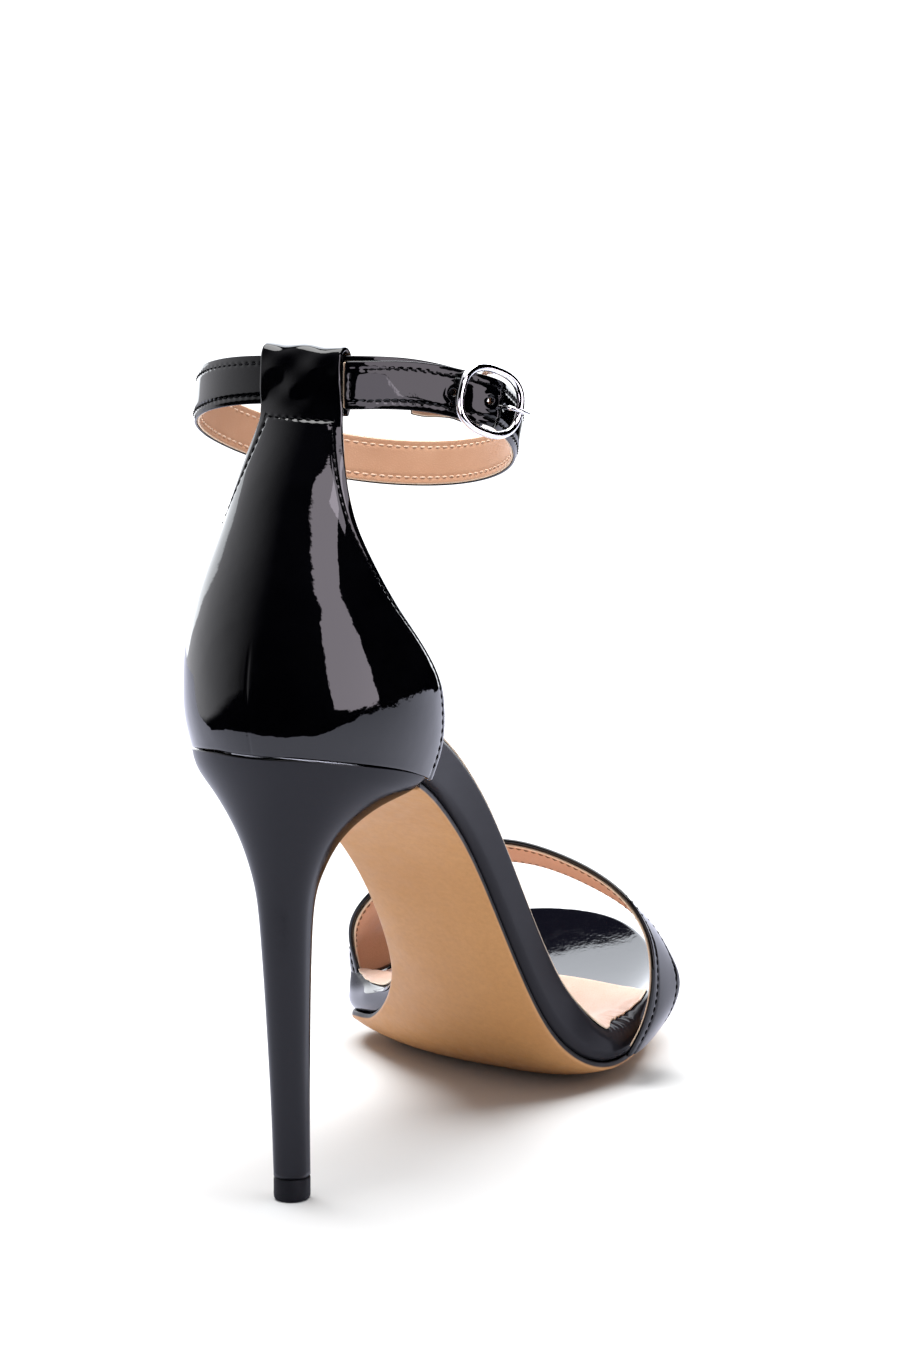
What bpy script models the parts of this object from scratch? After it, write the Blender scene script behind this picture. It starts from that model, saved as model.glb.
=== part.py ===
"""Stiletto ankle-strap sandal, right shoe, size 38: one object for each piece that a maker joins.

Metres, +Z up, +Y towards the toe and +X towards the outer side of the foot. The tables are in millimetres, measured
from the floor, from the back of the counter and from the heel's middle plane. A root empty then centres the shoe.
"""

import math

import bmesh
import bpy
import numpy as np
from mathutils import Vector

MM = 0.001
GAP = 0.3 * MM
SEAM = 0.45 * MM  # between the stacked layers of the sole


def table(columns, *rows):
    """One array in metres for each named column of a table in millimetres."""
    return dict(zip(columns.split(), np.array(rows, float).T * MM))


# The last: its centre line under the platform, the outline's inner and outer sides, how far the sides rise, and how
# far the outer side's curve runs ahead of the middle's, because the ball of the foot lies askew.
LAST = table(
    "forward height medial lateral lift lead",
    (4.7, 113.4, -25.9, 25.9, 0.0, 0.0),
    (25, 108.6, -25.9, 25.9, 0.0, 0.0),
    (46, 101.3, -24.4, 24.8, 0.0, 0.0),
    (66, 90.4, -20.6, 22.4, 0.3, 0.0),
    (84, 75.6, -17.6, 21.4, 0.8, 0.4),
    (99, 57.0, -16.4, 22.4, 1.5, 1.8),
    (112, 37.4, -17.4, 24.8, 2.4, 3.6),
    (124, 20.8, -21.6, 28.2, 3.2, 5.4),
    (137, 8.6, -31.6, 32.8, 4.2, 6.2),
    (155, 1.9, -45.0, 38.0, 5.0, 6.0),
    (178, 5.6, -46.2, 39.2, 4.2, 4.6),
    (194, 12.2, -45.0, 38.6, 3.2, 2.4),
    (210, 19.6, -44.0, 38.0, 2.4, 0.0),
)
HEEL_ROUND = 35 * MM  # length of the outline's round back
TOE_ROUND = 54 * MM  # length of its round toe
TOE_FULLNESS = 2.6  # exponent of the toe's curve: 2 is an ellipse
TOE_TIP = -3 * MM  # the toe's tip lies towards the inner side
LIFT_POWER = 3  # the underside is flat in the middle and rolls up at its sides
END_TURNS = np.radians(np.arange(8, 90, 11))  # where the rings lie round a rounded end
RINGS_BETWEEN = 20
RING_COLUMNS = 7
CORNER_TURNS = np.radians((30, 60, 90))
MOST_CORNER = 0.45  # of a ring's width or height

PLATFORM = table("forward thickness", (4.7, 11.6), (84, 12.6), (137, 10.8), (210, 10.4))
PLATFORM_CORNER = 2.2 * MM
SOLE_THICKNESS = 2.0 * MM
SOLE_CORNER = 0.6 * MM
SOLE_INSET = 1.5 * MM
SOLE_BACK = 47.6 * MM
SOCK_THICKNESS = 1.2 * MM
SOCK_CORNER = 0.4 * MM
SOCK_INSET = 1.6 * MM
SOCK_FRONT = 179 * MM

# The counter, a row for each level of its outer face: the middle of its back, then its front edge on either side.
COUNTER = table(
    "back back_height front front_height half_width",
    (2.4, 114.1, 45.0, 101.7, 27.4),
    (0.7, 120, 48.4, 110, 28.7),
    (0.0, 127, 49.0, 119, 28.9),
    (0.6, 134, 46.4, 127.5, 28.4),
    (3.2, 143, 39.4, 137, 26.8),
    (7.2, 152, 31.6, 147, 24.2),
    (11.8, 161.5, 26.6, 157.5, 20.6),
    (16.6, 171, 24.6, 168, 16.6),
    (21.6, 180, 26.4, 179, 13.2),
    (26.6, 188, 29.6, 187.6, 10.9),
    (28.4, 191, 30.4, 190.8, 10.4),
)
COUNTER_WRAP = np.radians((103, 106, 106, 105, 102, 95, 83, 69, 57, 48, 42))  # turn from the back to the front edge
COUNTER_ROWS = 17
COUNTER_COLUMNS = 25
COUNTER_EVENNESS = 0.65  # 1 spaces the columns evenly, less brings them closer at the front edges
WALL = 2.0 * MM

TAB_BACK = 29.3 * MM
TAB_FRONT = 36.9 * MM
TAB_LOW = 188.4 * MM
TAB_HIGH = 207.0 * MM
TAB_HALF_WIDTH = 10 * MM
TAB_WALL = 1.7 * MM
TAB_CORNER = 2.4 * MM
TAB_TURNS = np.radians((0, 30, 60, 90))

# The heel, a row for each level: back, widest place, front, half width, and the level's height at back and front.
HEEL = table(
    "back widest front half_width back_height front_height",
    (2.4, 37.0, 47.0, 27.9, 113.4, 100.4),
    (3.6, 33.6, 44.4, 25.6, 109.6, 98.6),
    (5.8, 28.5, 40.6, 20.8, 104.0, 96.0),
    (8.0, 24.2, 36.8, 15.8, 98.0, 92.4),
    (10.2, 21.6, 32.8, 11.4, 90.6, 87.6),
    (12.2, 20.3, 29.4, 8.3, 82.6, 81.2),
    (13.6, 19.9, 26.8, 6.5, 74.0, 73.6),
    (14.7, 20.3, 26.1, 5.7, 62.0, 62.0),
    (15.9, 20.9, 26.1, 5.2, 49.0, 49.0),
    (17.6, 22.0, 26.5, 4.5, 25.0, 25.0),
    (18.7, 22.8, 27.0, 4.25, 5.8, 5.8),
)
TOP_PIECE_HEIGHT = 5.5 * MM
BREAST_FULLNESS = 3.4  # exponent of the heel's front corners

# The toe strap above the platform: places on its rear and front edges, from the outer to the inner side.
TOE_STRAP = table(
    "across rear rear_height front front_height",
    (43.0, 149.4, 31.0, 165.8, 23.6),
    (40.8, 150.2, 39.6, 166.0, 29.6),
    (33.0, 151.8, 48.4, 167.2, 38.2),
    (17.0, 154.2, 55.8, 169.4, 46.2),
    (-2.0, 155.8, 58.6, 171.6, 50.0),
    (-19.0, 154.6, 55.8, 173.2, 48.2),
    (-34.0, 152.6, 47.4, 174.4, 40.8),
    (-43.4, 151.2, 35.6, 175.0, 30.0),
)
TOE_STRAP_FEET = table("rear front", (145.5, 164.5), (149.5, 175.5))  # outer foot, inner foot, on the last's centre
TOE_STRAP_THICKNESS = 1.8 * MM
FOOT_LEVELS = (0.08, 0.54, 1.0)  # the strap's heights on the platform's side, as shares of its thickness
TOE_STRAP_STEPS = 47
TOE_STRAP_COLUMNS = 6

# The ankle strap's loop: an ellipse seen from above, lower at the front.
LOOP_BACK = 32.3 * MM
LOOP_HALF_LENGTH = 34.8 * MM
LOOP_HALF_WIDTH = 39.4 * MM
LOOP_CENTRE = -2.2 * MM  # the loop lies a little towards the inner side
LOOP_HEIGHT = 198.6 * MM
LOOP_DROP = 31.5 * MM
LOOP_SAG = 1.12  # exponent of the drop: above 1 the strap leaves the tab level and drops most at the front
LOOP_ROLL = 2.0 * MM  # the outer side is higher by this and the inner side lower
LOOP_LEAN = math.radians(24)
LOOP_UPRIGHT = 40 * MM  # length over which the band leans from upright, in the tab, to square with the loop
STRAP_WIDTH = 12 * MM
STRAP_THICKNESS = 1.6 * MM
STRAP_SOFT_EDGE = 0.4 * MM
BUCKLE_TURN = math.radians(72)  # from the tab to the buckle's bar, round the outer side

# The strap's way near the buckle: distance ahead of the bar and height over the loop's line.
STRAP_RETURN = table("ahead over", (-17, -2.1), (-13, -2.3), (-8.8, -2.75), (-4.5, -2.95))
STRAP_OUT = table("ahead over", (-3.5, 0.45), (-8.8, -0.6), (-14, -0.2), (-20, 0))
STRAP_TAIL = table(
    "ahead over",
    (30, 0), (22, 0), (14, 0.4), (9.2, 0.9), (5.5, 1.8), (2.4, 2.75), (0, 3.05), (-3.5, 2.65), (-6.2, 1.85),
    (-8.8, 1.5), (-14, 1.85), (-20, 2.0), (-27, 2.0), (-36.5, 2.0),
)
FOLD_STEPS = 34
LOOP_STEPS = 46
TAIL_STEPS = 28
BAR_OVER = -1.05 * MM
BAR_RADIUS = 0.8 * MM
FOLD_RADIUS = 2.0 * MM
FOLD_SLOT = Vector((7.0, 3.2, 7.4)) * MM
PRONG_HOLE = Vector((3.4, 2.3, 3.4)) * MM
PRONG_HOLE_AHEAD = 2.3 * MM

FRAME_OVER = 3.7 * MM
FRAME_HALF_LENGTH = 9.3 * MM
FRAME_HALF_HEIGHT = 7.6 * MM
FRAME_FULLNESS = 2.5
FRAME_RADIUS = 1.0 * MM
FRAME_STEPS = 32
BAR_BEND = ((0, 0.0), (0.5, 0.1), (0.85, 0.4), (1, 1.0))  # shares of the way out and up to the frame
PRONG_RADIUS = 0.55 * MM
PRONG_HOOK = 1.5 * MM
HOOK_TURNS = np.radians(np.arange(-50, -270, -27))
PRONG_STEPS = 12
PRONG = table(
    "ahead over", (0.7, 0.42), (1.6, 1.5), (2.4, 2.9), (3.6, 4.4), (5.4, 5.3), (7.4, 5.5), (9.4, 5.45), (11.4, 5.1)
)


def spline(knots, values, at):
    """Natural cubic spline through the knots, read at the given places."""
    gaps = np.diff(knots)
    slopes = np.diff(values) / gaps
    matrix = np.eye(len(knots))
    pull = np.zeros(len(knots))
    for i in range(1, len(gaps)):
        matrix[i, i - 1 : i + 2] = gaps[i - 1], 2 * (gaps[i - 1] + gaps[i]), gaps[i]
        pull[i] = 6 * (slopes[i] - slopes[i - 1])
    bend = np.linalg.solve(matrix, pull)
    i = np.clip(np.searchsorted(knots, at) - 1, 0, len(gaps) - 1)
    left, right, gap = at - knots[i], knots[i + 1] - at, gaps[i]
    curve = (bend[i] * right**3 + bend[i + 1] * left**3) / (6 * gap)
    curve += (values[i] / gap - bend[i] * gap / 6) * right
    curve += (values[i + 1] / gap - bend[i + 1] * gap / 6) * left
    return curve


def running_length(*coordinates):
    """Distance along a line of points, from its first one."""
    steps = np.sqrt(sum(np.diff(axis) ** 2 for axis in coordinates))
    return np.concatenate([[0], np.cumsum(steps)])


ALONG = running_length(LAST["forward"], LAST["height"])
LAST_LENGTH = ALONG[-1]


def on_last(column, along):
    return spline(ALONG, LAST[column], along)


def along_at(forward):
    """Distance along the last's centre line to the place this far forward."""
    places = np.linspace(0, LAST_LENGTH, 600)
    return np.interp(forward, on_last("forward", places), places)


def underside(forward):
    return on_last("height", along_at(forward))


def side_of(along, side, inset=0.0):
    """Where the outline's inner (-1) or outer (1) side lies, this far inside the platform's edge."""
    reach = on_last("lateral" if side > 0 else "medial", along) - side * inset
    heel = max(0.0, (HEEL_ROUND - along) / (HEEL_ROUND - inset))
    toe = max(0.0, (along - LAST_LENGTH + TOE_ROUND) / (TOE_ROUND - inset))
    reach *= math.sqrt(max(0.0, 1 - heel**2))
    if not toe:
        return reach
    return TOE_TIP + (reach - TOE_TIP) * max(0.0, 1 - toe**TOE_FULLNESS) ** (1 / TOE_FULLNESS)


def last_point(along, across, over):
    """A point across the last and this far over its underside, square to it."""
    share = across / abs(on_last("lateral" if across > 0 else "medial", along))
    forward = on_last("forward", along)
    level = along_at(forward + on_last("lead", along) * share)
    step = 0.05 * MM
    run = on_last("forward", level + step) - on_last("forward", level - step)
    slope = math.atan2(on_last("height", level + step) - on_last("height", level - step), run)
    over = over + on_last("lift", along) * abs(share) ** LIFT_POWER
    return Vector((across, forward - over * math.sin(slope), on_last("height", level) + over * math.cos(slope)))


def places_along(start, end, round_heel, round_toe):
    """Places along the last, closer together where the outline turns round an end."""
    ease = 1 - np.cos(END_TURNS)
    heel = start + (HEEL_ROUND - start) * ease if round_heel else np.array([start])
    toe = end - (TOE_ROUND - LAST_LENGTH + end) * ease[::-1] if round_toe else np.array([end])
    between = np.linspace(heel[-1], toe[0], RINGS_BETWEEN)[1:-1]
    return np.concatenate([heel, between, toe])


def last_ring(along, inset, low, high, corner):
    """A closed ring across the last: underside, outer side, top and inner side, with round corners."""
    inner, outer = side_of(along, -1, inset), side_of(along, 1, inset)
    corner = min(corner, MOST_CORNER * (outer - inner), MOST_CORNER * (high - low))
    left, right, bottom, top = inner + corner, outer - corner, low + corner, high - corner
    flat = np.linspace(left, right, RING_COLUMNS)
    away = corner * np.sin(CORNER_TURNS)
    back = corner * np.cos(CORNER_TURNS)
    ring = [(across, low) for across in flat]
    ring += zip(right + away, bottom - back)
    ring += zip(right + away[::-1], top + back[::-1])
    ring += [(across, high) for across in flat[::-1]]
    ring += zip(left - away, top + back)
    ring += zip(left - away[::-1], bottom - back[::-1])
    return [last_point(along, across, over) for across, over in ring]


def material(name, colour, roughness, metallic=0.0):
    made = bpy.data.materials.new(name)
    made.use_nodes = True
    shader = made.node_tree.nodes["Principled BSDF"]
    shader.inputs["Base Color"].default_value = (*colour, 1)
    shader.inputs["Roughness"].default_value = roughness
    shader.inputs["Metallic"].default_value = metallic
    return made


def collection(name):
    made = bpy.data.collections.new(name)
    bpy.context.scene.collection.children.link(made)
    return made


def mesh_object(name, points, faces, group, finish=None, closed=True):
    mesh = bpy.data.meshes.new(name)
    mesh.from_pydata([tuple(point) for point in points], [], faces)
    if closed:
        work = bmesh.new()
        work.from_mesh(mesh)
        bmesh.ops.recalc_face_normals(work, faces=work.faces)
        work.to_mesh(mesh)
        work.free()
    made = bpy.data.objects.new(name, mesh)
    group.objects.link(made)
    if finish:
        mesh.materials.append(finish)
    return made


def grid_faces(rows, columns, closed):
    """Quads between the rows of a grid of points, each row closed on itself or open."""
    faces = []
    for i in range(rows - 1):
        for j in range(columns if closed else columns - 1):
            after = (j + 1) % columns
            faces.append((i * columns + j, i * columns + after, (i + 1) * columns + after, (i + 1) * columns + j))
    return faces


def loft(name, rings, group, finish=None):
    """A solid through closed rings of equally many points, with flat ends."""
    count = len(rings[0])
    last = (len(rings) - 1) * count
    faces = grid_faces(len(rings), count, closed=True)
    faces += [tuple(range(count)), tuple(range(last, last + count))]
    return mesh_object(name, [point for ring in rings for point in ring], faces, group, finish)


def shell(name, grid, thickness, offset, group, finish):
    """An open surface given a wall: offset -1 grows it inwards and 0 to both sides."""
    points = [point for row in grid for point in row]
    faces = grid_faces(len(grid), len(grid[0]), closed=False)
    made = mesh_object(name, points, faces, group, finish, closed=False)
    wall = made.modifiers.new("wall", "SOLIDIFY")
    wall.thickness = thickness
    wall.offset = offset
    wall.use_even_offset = True
    return made


def boolean(target, other, operation):
    cut = target.modifiers.new(other.name, "BOOLEAN")
    cut.operation = operation
    cut.solver = "EXACT"
    cut.object = other


def as_helper(made):
    made.hide_render = True
    made.display_type = "WIRE"
    return made


def make_platform(parts, finish):
    rings = []
    for along in places_along(0, LAST_LENGTH, True, True):
        thickness = spline(PLATFORM["forward"], PLATFORM["thickness"], on_last("forward", along))
        rings.append(last_ring(along, 0, 0, thickness, PLATFORM_CORNER))
    loft("platform", rings, parts, finish)


def make_outsole(parts, finish):
    """The sole, with its lowest place pressed flat on the floor."""
    places = places_along(along_at(SOLE_BACK), LAST_LENGTH - SOLE_INSET, False, True)
    rings = [last_ring(along, SOLE_INSET, -SEAM - SOLE_THICKNESS, -SEAM, SOLE_CORNER) for along in places]
    for ring in rings:
        for point in ring:
            point.z = max(point.z, 0)
    loft("outsole", rings, parts, finish)


def make_insole(parts, finish):
    rings = []
    for along in places_along(SOCK_INSET, along_at(SOCK_FRONT), True, False):
        low = spline(PLATFORM["forward"], PLATFORM["thickness"], on_last("forward", along)) + SEAM
        rings.append(last_ring(along, SOCK_INSET, low, low + SOCK_THICKNESS, SOCK_CORNER))
    loft("insole", rings, parts, finish)


def heel_ring(row, count=14):
    """One level of the heel: a half ellipse at the back, and a front with fuller corners."""
    back, widest, front, half_width, back_height, front_height = (HEEL[name][row] for name in HEEL)
    ring = []
    for turn in np.linspace(0, 2 * math.pi, 2 * count, endpoint=False):
        sine, cosine = math.sin(turn), math.cos(turn)
        if cosine >= 0:
            across, forward = half_width * sine, widest - (widest - back) * cosine
        else:
            power = 2 / BREAST_FULLNESS
            across = half_width * math.copysign(abs(sine) ** power, sine)
            forward = widest + (front - widest) * abs(cosine) ** power
        share = (forward - back) / (front - back)
        height = underside(forward) - GAP if row == 0 else back_height + (front_height - back_height) * share
        ring.append(Vector((across, forward, height)))
    return ring


def make_heel(parts, heel_finish, tip_finish):
    levels = np.arange(len(HEEL["back"]))
    columns = np.array([heel_ring(row) for row in levels]).transpose(1, 2, 0)
    rings = []
    for level in np.linspace(0, levels[-1], 2 * len(levels) - 1):
        rings.append([Vector([spline(levels, axis, level) for axis in column]) for column in columns])
    loft("heel", rings, parts, heel_finish)
    foot = [Vector((x, y, TOP_PIECE_HEIGHT)) for x, y, z in rings[-1]]
    loft("top_piece", [foot, [Vector((x, y, 0)) for x, y, z in foot]], parts, tip_finish)


def counter_point(level, share):
    """A point of the counter's outer face: level 0 is its foot, share runs from -1 (inner side) to 1 (outer side)."""
    levels = np.arange(len(COUNTER["back"]))
    back, back_height, front, front_height, half_width = (spline(levels, COUNTER[name], level) for name in COUNTER)
    wrap = spline(levels, COUNTER_WRAP, level)
    turn = wrap * abs(share)
    forward = back + (front - back) * (1 - math.cos(turn)) / (1 - math.cos(wrap))
    across = math.copysign(half_width * math.sin(turn) / math.sin(wrap), share)
    part = (forward - back) / (front - back)
    rise = (back_height - underside(back)) * (1 - part) + (front_height - underside(front)) * part
    return Vector((across, forward, underside(forward) + rise))


def tab_section():
    """The middle line of the tab's wall from the side, as forward and height: a rectangle with round corners."""
    middle, centre = (TAB_BACK + TAB_FRONT) / 2, (TAB_LOW + TAB_HIGH) / 2
    corner = TAB_CORNER - TAB_WALL / 2
    half_depth = (TAB_FRONT - TAB_BACK - TAB_WALL) / 2 - corner
    half_height = (TAB_HIGH - TAB_LOW - TAB_WALL) / 2 - corner
    section = []
    for quarter, (side, up) in enumerate(((1, 1), (-1, 1), (-1, -1), (1, -1))):
        for turn in TAB_TURNS + quarter * math.pi / 2:
            forward = middle + side * half_depth + corner * math.cos(turn)
            section.append(Vector((forward, centre + up * half_height + corner * math.sin(turn))))
    return section


def make_tab(helpers):
    """The loop that the counter's top folds into, open at its two sides."""
    section = tab_section()
    count = len(section)
    points = []
    for side in (-TAB_HALF_WIDTH, TAB_HALF_WIDTH):
        for offset in (TAB_WALL / 2, -TAB_WALL / 2):
            for i, place in enumerate(section):
                run = section[(i + 1) % count] - section[i - 1]
                away = Vector((run.y, -run.x)).normalized()
                points.append(Vector((side, *(place + away * offset))))
    outer_left, inner_left, outer_right, inner_right = range(0, 4 * count, count)
    walls = (
        (outer_left, outer_right),
        (outer_right, inner_right),
        (inner_right, inner_left),
        (inner_left, outer_left),
    )
    faces = []
    for first, second in walls:
        for i in range(count):
            after = (i + 1) % count
            faces.append((first + i, first + after, second + after, second + i))
    return as_helper(mesh_object("tab", points, faces, helpers))


def make_counter(parts, helpers, finish):
    """The hollow back of the upper, joined to the tab at its top."""
    levels = np.linspace(0, len(COUNTER["back"]) - 1, COUNTER_ROWS)
    even = np.linspace(-1, 1, COUNTER_COLUMNS)
    shares = even * COUNTER_EVENNESS + np.sin(even * math.pi / 2) * (1 - COUNTER_EVENNESS)
    grid = [[counter_point(level, share) for share in shares] for level in levels]
    counter = shell("counter", grid, WALL, -1, parts, finish)
    boolean(counter, make_tab(helpers), "UNION")


def strap_foot(side, share, height_share):
    """A point of the toe strap on the platform's outer (1) or inner (-1) side, its wall's middle clear of it."""
    foot = 0 if side > 0 else 1
    rear, front = TOE_STRAP_FEET["rear"][foot], TOE_STRAP_FEET["front"][foot]
    along = along_at(rear + (front - rear) * share)
    thickness = spline(PLATFORM["forward"], PLATFORM["thickness"], on_last("forward", along))
    point = last_point(along, side_of(along, side), thickness * height_share)
    return point + Vector((side * (2 * GAP + TOE_STRAP_THICKNESS / 2), 0, 0))


def strap_line(share):
    """The toe strap's line from foot to foot: share 0 is its rear edge and 1 its front edge."""
    forward = TOE_STRAP["rear"] + (TOE_STRAP["front"] - TOE_STRAP["rear"]) * share
    height = TOE_STRAP["rear_height"] + (TOE_STRAP["front_height"] - TOE_STRAP["rear_height"]) * share
    knots = [strap_foot(1, share, level) for level in FOOT_LEVELS]
    knots += [Vector(point) for point in zip(TOE_STRAP["across"], forward, height)]
    knots += [strap_foot(-1, share, level) for level in FOOT_LEVELS[::-1]]
    axes = np.array(knots).T
    lengths = running_length(*axes)
    places = np.linspace(0, lengths[-1], TOE_STRAP_STEPS)
    return [Vector(point) for point in zip(*(spline(lengths, axis, places) for axis in axes))]


def make_toe_strap(parts, finish):
    grid = [strap_line(share) for share in np.linspace(0, 1, TOE_STRAP_COLUMNS)]
    shell("toe_strap", grid, TOE_STRAP_THICKNESS, 0, parts, finish)


LOOP_MIDDLE = LOOP_BACK + LOOP_HALF_LENGTH


def loop_at(turn):
    """The loop's line this far round from the tab, by way of the outer side."""
    sine, cosine = math.sin(turn), math.cos(turn)
    forward = LOOP_MIDDLE - LOOP_HALF_LENGTH * cosine
    sag = max(0.0, (1 - cosine) / 2) ** LOOP_SAG
    height = LOOP_HEIGHT - LOOP_DROP * sag + LOOP_ROLL * sine
    return Vector((LOOP_CENTRE + LOOP_HALF_WIDTH * sine, forward, height))


LOOP_TURNS = np.linspace(0, 2 * math.pi, 721)
LOOP_LENGTHS = running_length(*np.array([loop_at(turn) for turn in LOOP_TURNS]).T)
LOOP_LENGTH = LOOP_LENGTHS[-1]
BUCKLE_ALONG = np.interp(BUCKLE_TURN, LOOP_TURNS, LOOP_LENGTHS)


def loop_line(along):
    return loop_at(np.interp(along % LOOP_LENGTH, LOOP_LENGTHS, LOOP_TURNS))


def loop_frame(along):
    """The loop's place, its run, its outward side and the band's width there."""
    step = 0.4 * MM
    place = loop_line(along)
    run = (loop_line(along + step) - loop_line(along - step)).normalized()
    lean = min(1.0, (place.y - LOOP_BACK) / LOOP_UPRIGHT)
    lean = LOOP_LEAN * lean * lean * (3 - 2 * lean)
    width = Vector((0, math.sin(lean), math.cos(lean)))
    outward = run.cross(width).normalized()
    return place, run, outward, outward.cross(run).normalized()


def strap_route():
    """The band's line from its folded end to the tail's tip: distance ahead of the bar, height over the loop."""
    fold = np.radians(np.arange(-90, 91, 22.5))
    ahead = np.concatenate([STRAP_RETURN["ahead"], FOLD_RADIUS * np.cos(fold), STRAP_OUT["ahead"]])
    over = np.concatenate([STRAP_RETURN["over"], BAR_OVER + FOLD_RADIUS * np.sin(fold), STRAP_OUT["over"]])
    lengths = running_length(ahead, over)
    places = np.linspace(0, lengths[-1], FOLD_STEPS)
    near = np.stack([spline(lengths, ahead, places), spline(lengths, over, places)], 1)
    tail_start = STRAP_TAIL["ahead"][0] - LOOP_LENGTH
    round_loop = np.linspace(near[-1, 0], tail_start, LOOP_STEPS)[1:-1]
    tail_places = np.linspace(STRAP_TAIL["ahead"][0], STRAP_TAIL["ahead"][-1], TAIL_STEPS)
    tail_over = spline(STRAP_TAIL["ahead"][::-1], STRAP_TAIL["over"][::-1], tail_places)
    route = [tuple(point) for point in near]
    route += [(place, 0.0) for place in round_loop]
    route += list(zip(tail_places - LOOP_LENGTH, tail_over))
    return route


def strap_point(ahead, over):
    place, run, outward, width = loop_frame(BUCKLE_ALONG + ahead)
    return place + outward * over


def make_ankle_strap(parts, helpers, finish):
    route = strap_route()
    middles = [strap_point(*step) for step in route]
    rings = []
    for i, (ahead, over) in enumerate(route):
        width = loop_frame(BUCKLE_ALONG + ahead)[3]
        run = (middles[min(i + 1, len(route) - 1)] - middles[max(i - 1, 0)]).normalized()
        through = run.cross(width).normalized() * STRAP_THICKNESS / 2
        half = width * STRAP_WIDTH / 2
        soft = width * STRAP_SOFT_EDGE
        corners = (half - soft + through, half + through * 0.5, half - through * 0.5, half - soft - through)
        rings.append([middles[i] + corner for corner in corners] + [middles[i] - corner for corner in corners])
    strap = loft("ankle_strap", rings, parts, finish)
    boolean(strap, buckle_box("fold_slot", FOLD_SLOT, 0, BAR_OVER, helpers), "DIFFERENCE")
    tail_over = spline(STRAP_TAIL["ahead"][::-1], STRAP_TAIL["over"][::-1], PRONG_HOLE_AHEAD)
    boolean(strap, buckle_box("prong_hole", PRONG_HOLE, PRONG_HOLE_AHEAD, tail_over, helpers), "DIFFERENCE")


def buckle_point(ahead, over, up=0.0):
    """A point in the buckle's own flat frame, from the bar's place on the loop."""
    place, run, outward, width = loop_frame(BUCKLE_ALONG)
    return place + run * ahead + outward * over + width * up


def buckle_box(name, size, ahead, over, helpers):
    """A box in the buckle's frame that cuts the strap."""
    signs = (-0.5, 0.5)
    points = []
    for along in signs:
        for out in signs:
            points += [buckle_point(ahead + along * size.x, over + out * size.z, up * size.y) for up in signs]
    faces = [(0, 1, 3, 2), (4, 5, 7, 6), (0, 1, 5, 4), (2, 3, 7, 6), (0, 2, 6, 4), (1, 3, 7, 5)]
    return as_helper(mesh_object(name, points, faces, helpers))


def wire(name, points, radius, closed, group, finish=None):
    """A round wire along a line of points, as a mesh."""
    curve = bpy.data.curves.new(name, "CURVE")
    curve.dimensions = "3D"
    curve.bevel_depth = radius
    curve.bevel_resolution = 3
    curve.use_fill_caps = not closed
    line = curve.splines.new("POLY")
    line.points.add(len(points) - 1)
    for target, point in zip(line.points, points):
        target.co = (*point, 1)
    line.use_cyclic_u = closed
    guide = bpy.data.objects.new(name + "_line", curve)
    group.objects.link(guide)
    mesh = bpy.data.meshes.new_from_object(guide.evaluated_get(bpy.context.evaluated_depsgraph_get()))
    bpy.data.objects.remove(guide)
    work = bmesh.new()
    work.from_mesh(mesh)
    bmesh.ops.remove_doubles(work, verts=work.verts, dist=0.001 * MM)
    bmesh.ops.recalc_face_normals(work, faces=work.faces)
    work.to_mesh(mesh)
    work.free()
    made = bpy.data.objects.new(name, mesh)
    group.objects.link(made)
    mesh.materials.clear()
    if finish:
        mesh.materials.append(finish)
    return made


def make_buckle(parts, helpers, finish):
    """The oval frame with its dropped bar, and the prong hooked on that bar."""
    oval = []
    for turn in np.linspace(0, 2 * math.pi, FRAME_STEPS, endpoint=False):
        ahead, up = math.cos(turn), math.sin(turn)
        squeeze = (abs(ahead) ** FRAME_FULLNESS + abs(up) ** FRAME_FULLNESS) ** (-1 / FRAME_FULLNESS)
        oval.append(buckle_point(FRAME_HALF_LENGTH * ahead * squeeze, FRAME_OVER, FRAME_HALF_HEIGHT * up * squeeze))
    frame = wire("buckle_frame", oval, FRAME_RADIUS, True, parts, finish)
    strap_edge = STRAP_WIDTH / 2 + 2 * GAP
    drop = FRAME_OVER - BAR_OVER
    rise = FRAME_HALF_HEIGHT - strap_edge
    side = [(strap_edge + rise * part, share) for part, share in BAR_BEND]
    bar = [(-up, share) for up, share in side[::-1]] + side
    bar_line = [buckle_point(0, BAR_OVER + drop * share, up) for up, share in bar]
    boolean(frame, as_helper(wire("bar", bar_line, BAR_RADIUS, False, helpers)), "UNION")
    line = [(PRONG_HOOK * math.cos(turn), BAR_OVER + PRONG_HOOK * math.sin(turn)) for turn in HOOK_TURNS]
    lengths = running_length(PRONG["ahead"], PRONG["over"])
    places = np.linspace(0, lengths[-1], PRONG_STEPS)
    line += list(zip(spline(lengths, PRONG["ahead"], places), spline(lengths, PRONG["over"], places)))
    wire("buckle_prong", [buckle_point(*step) for step in line], PRONG_RADIUS, False, parts, finish)


def centre_on_footprint(parts):
    """Hangs every part on one empty, placed so that the origin is under the middle of the whole shoe."""
    bpy.context.view_layer.update()
    graph = bpy.context.evaluated_depsgraph_get()
    corners = np.array([corner[:] for made in parts.objects for corner in made.evaluated_get(graph).bound_box])
    low, high = corners.min(axis=0), corners.max(axis=0)
    root = bpy.data.objects.new("shoe", None)
    parts.objects.link(root)
    root.location = (-(low[0] + high[0]) / 2, -(low[1] + high[1]) / 2, 0)
    return root


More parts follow.
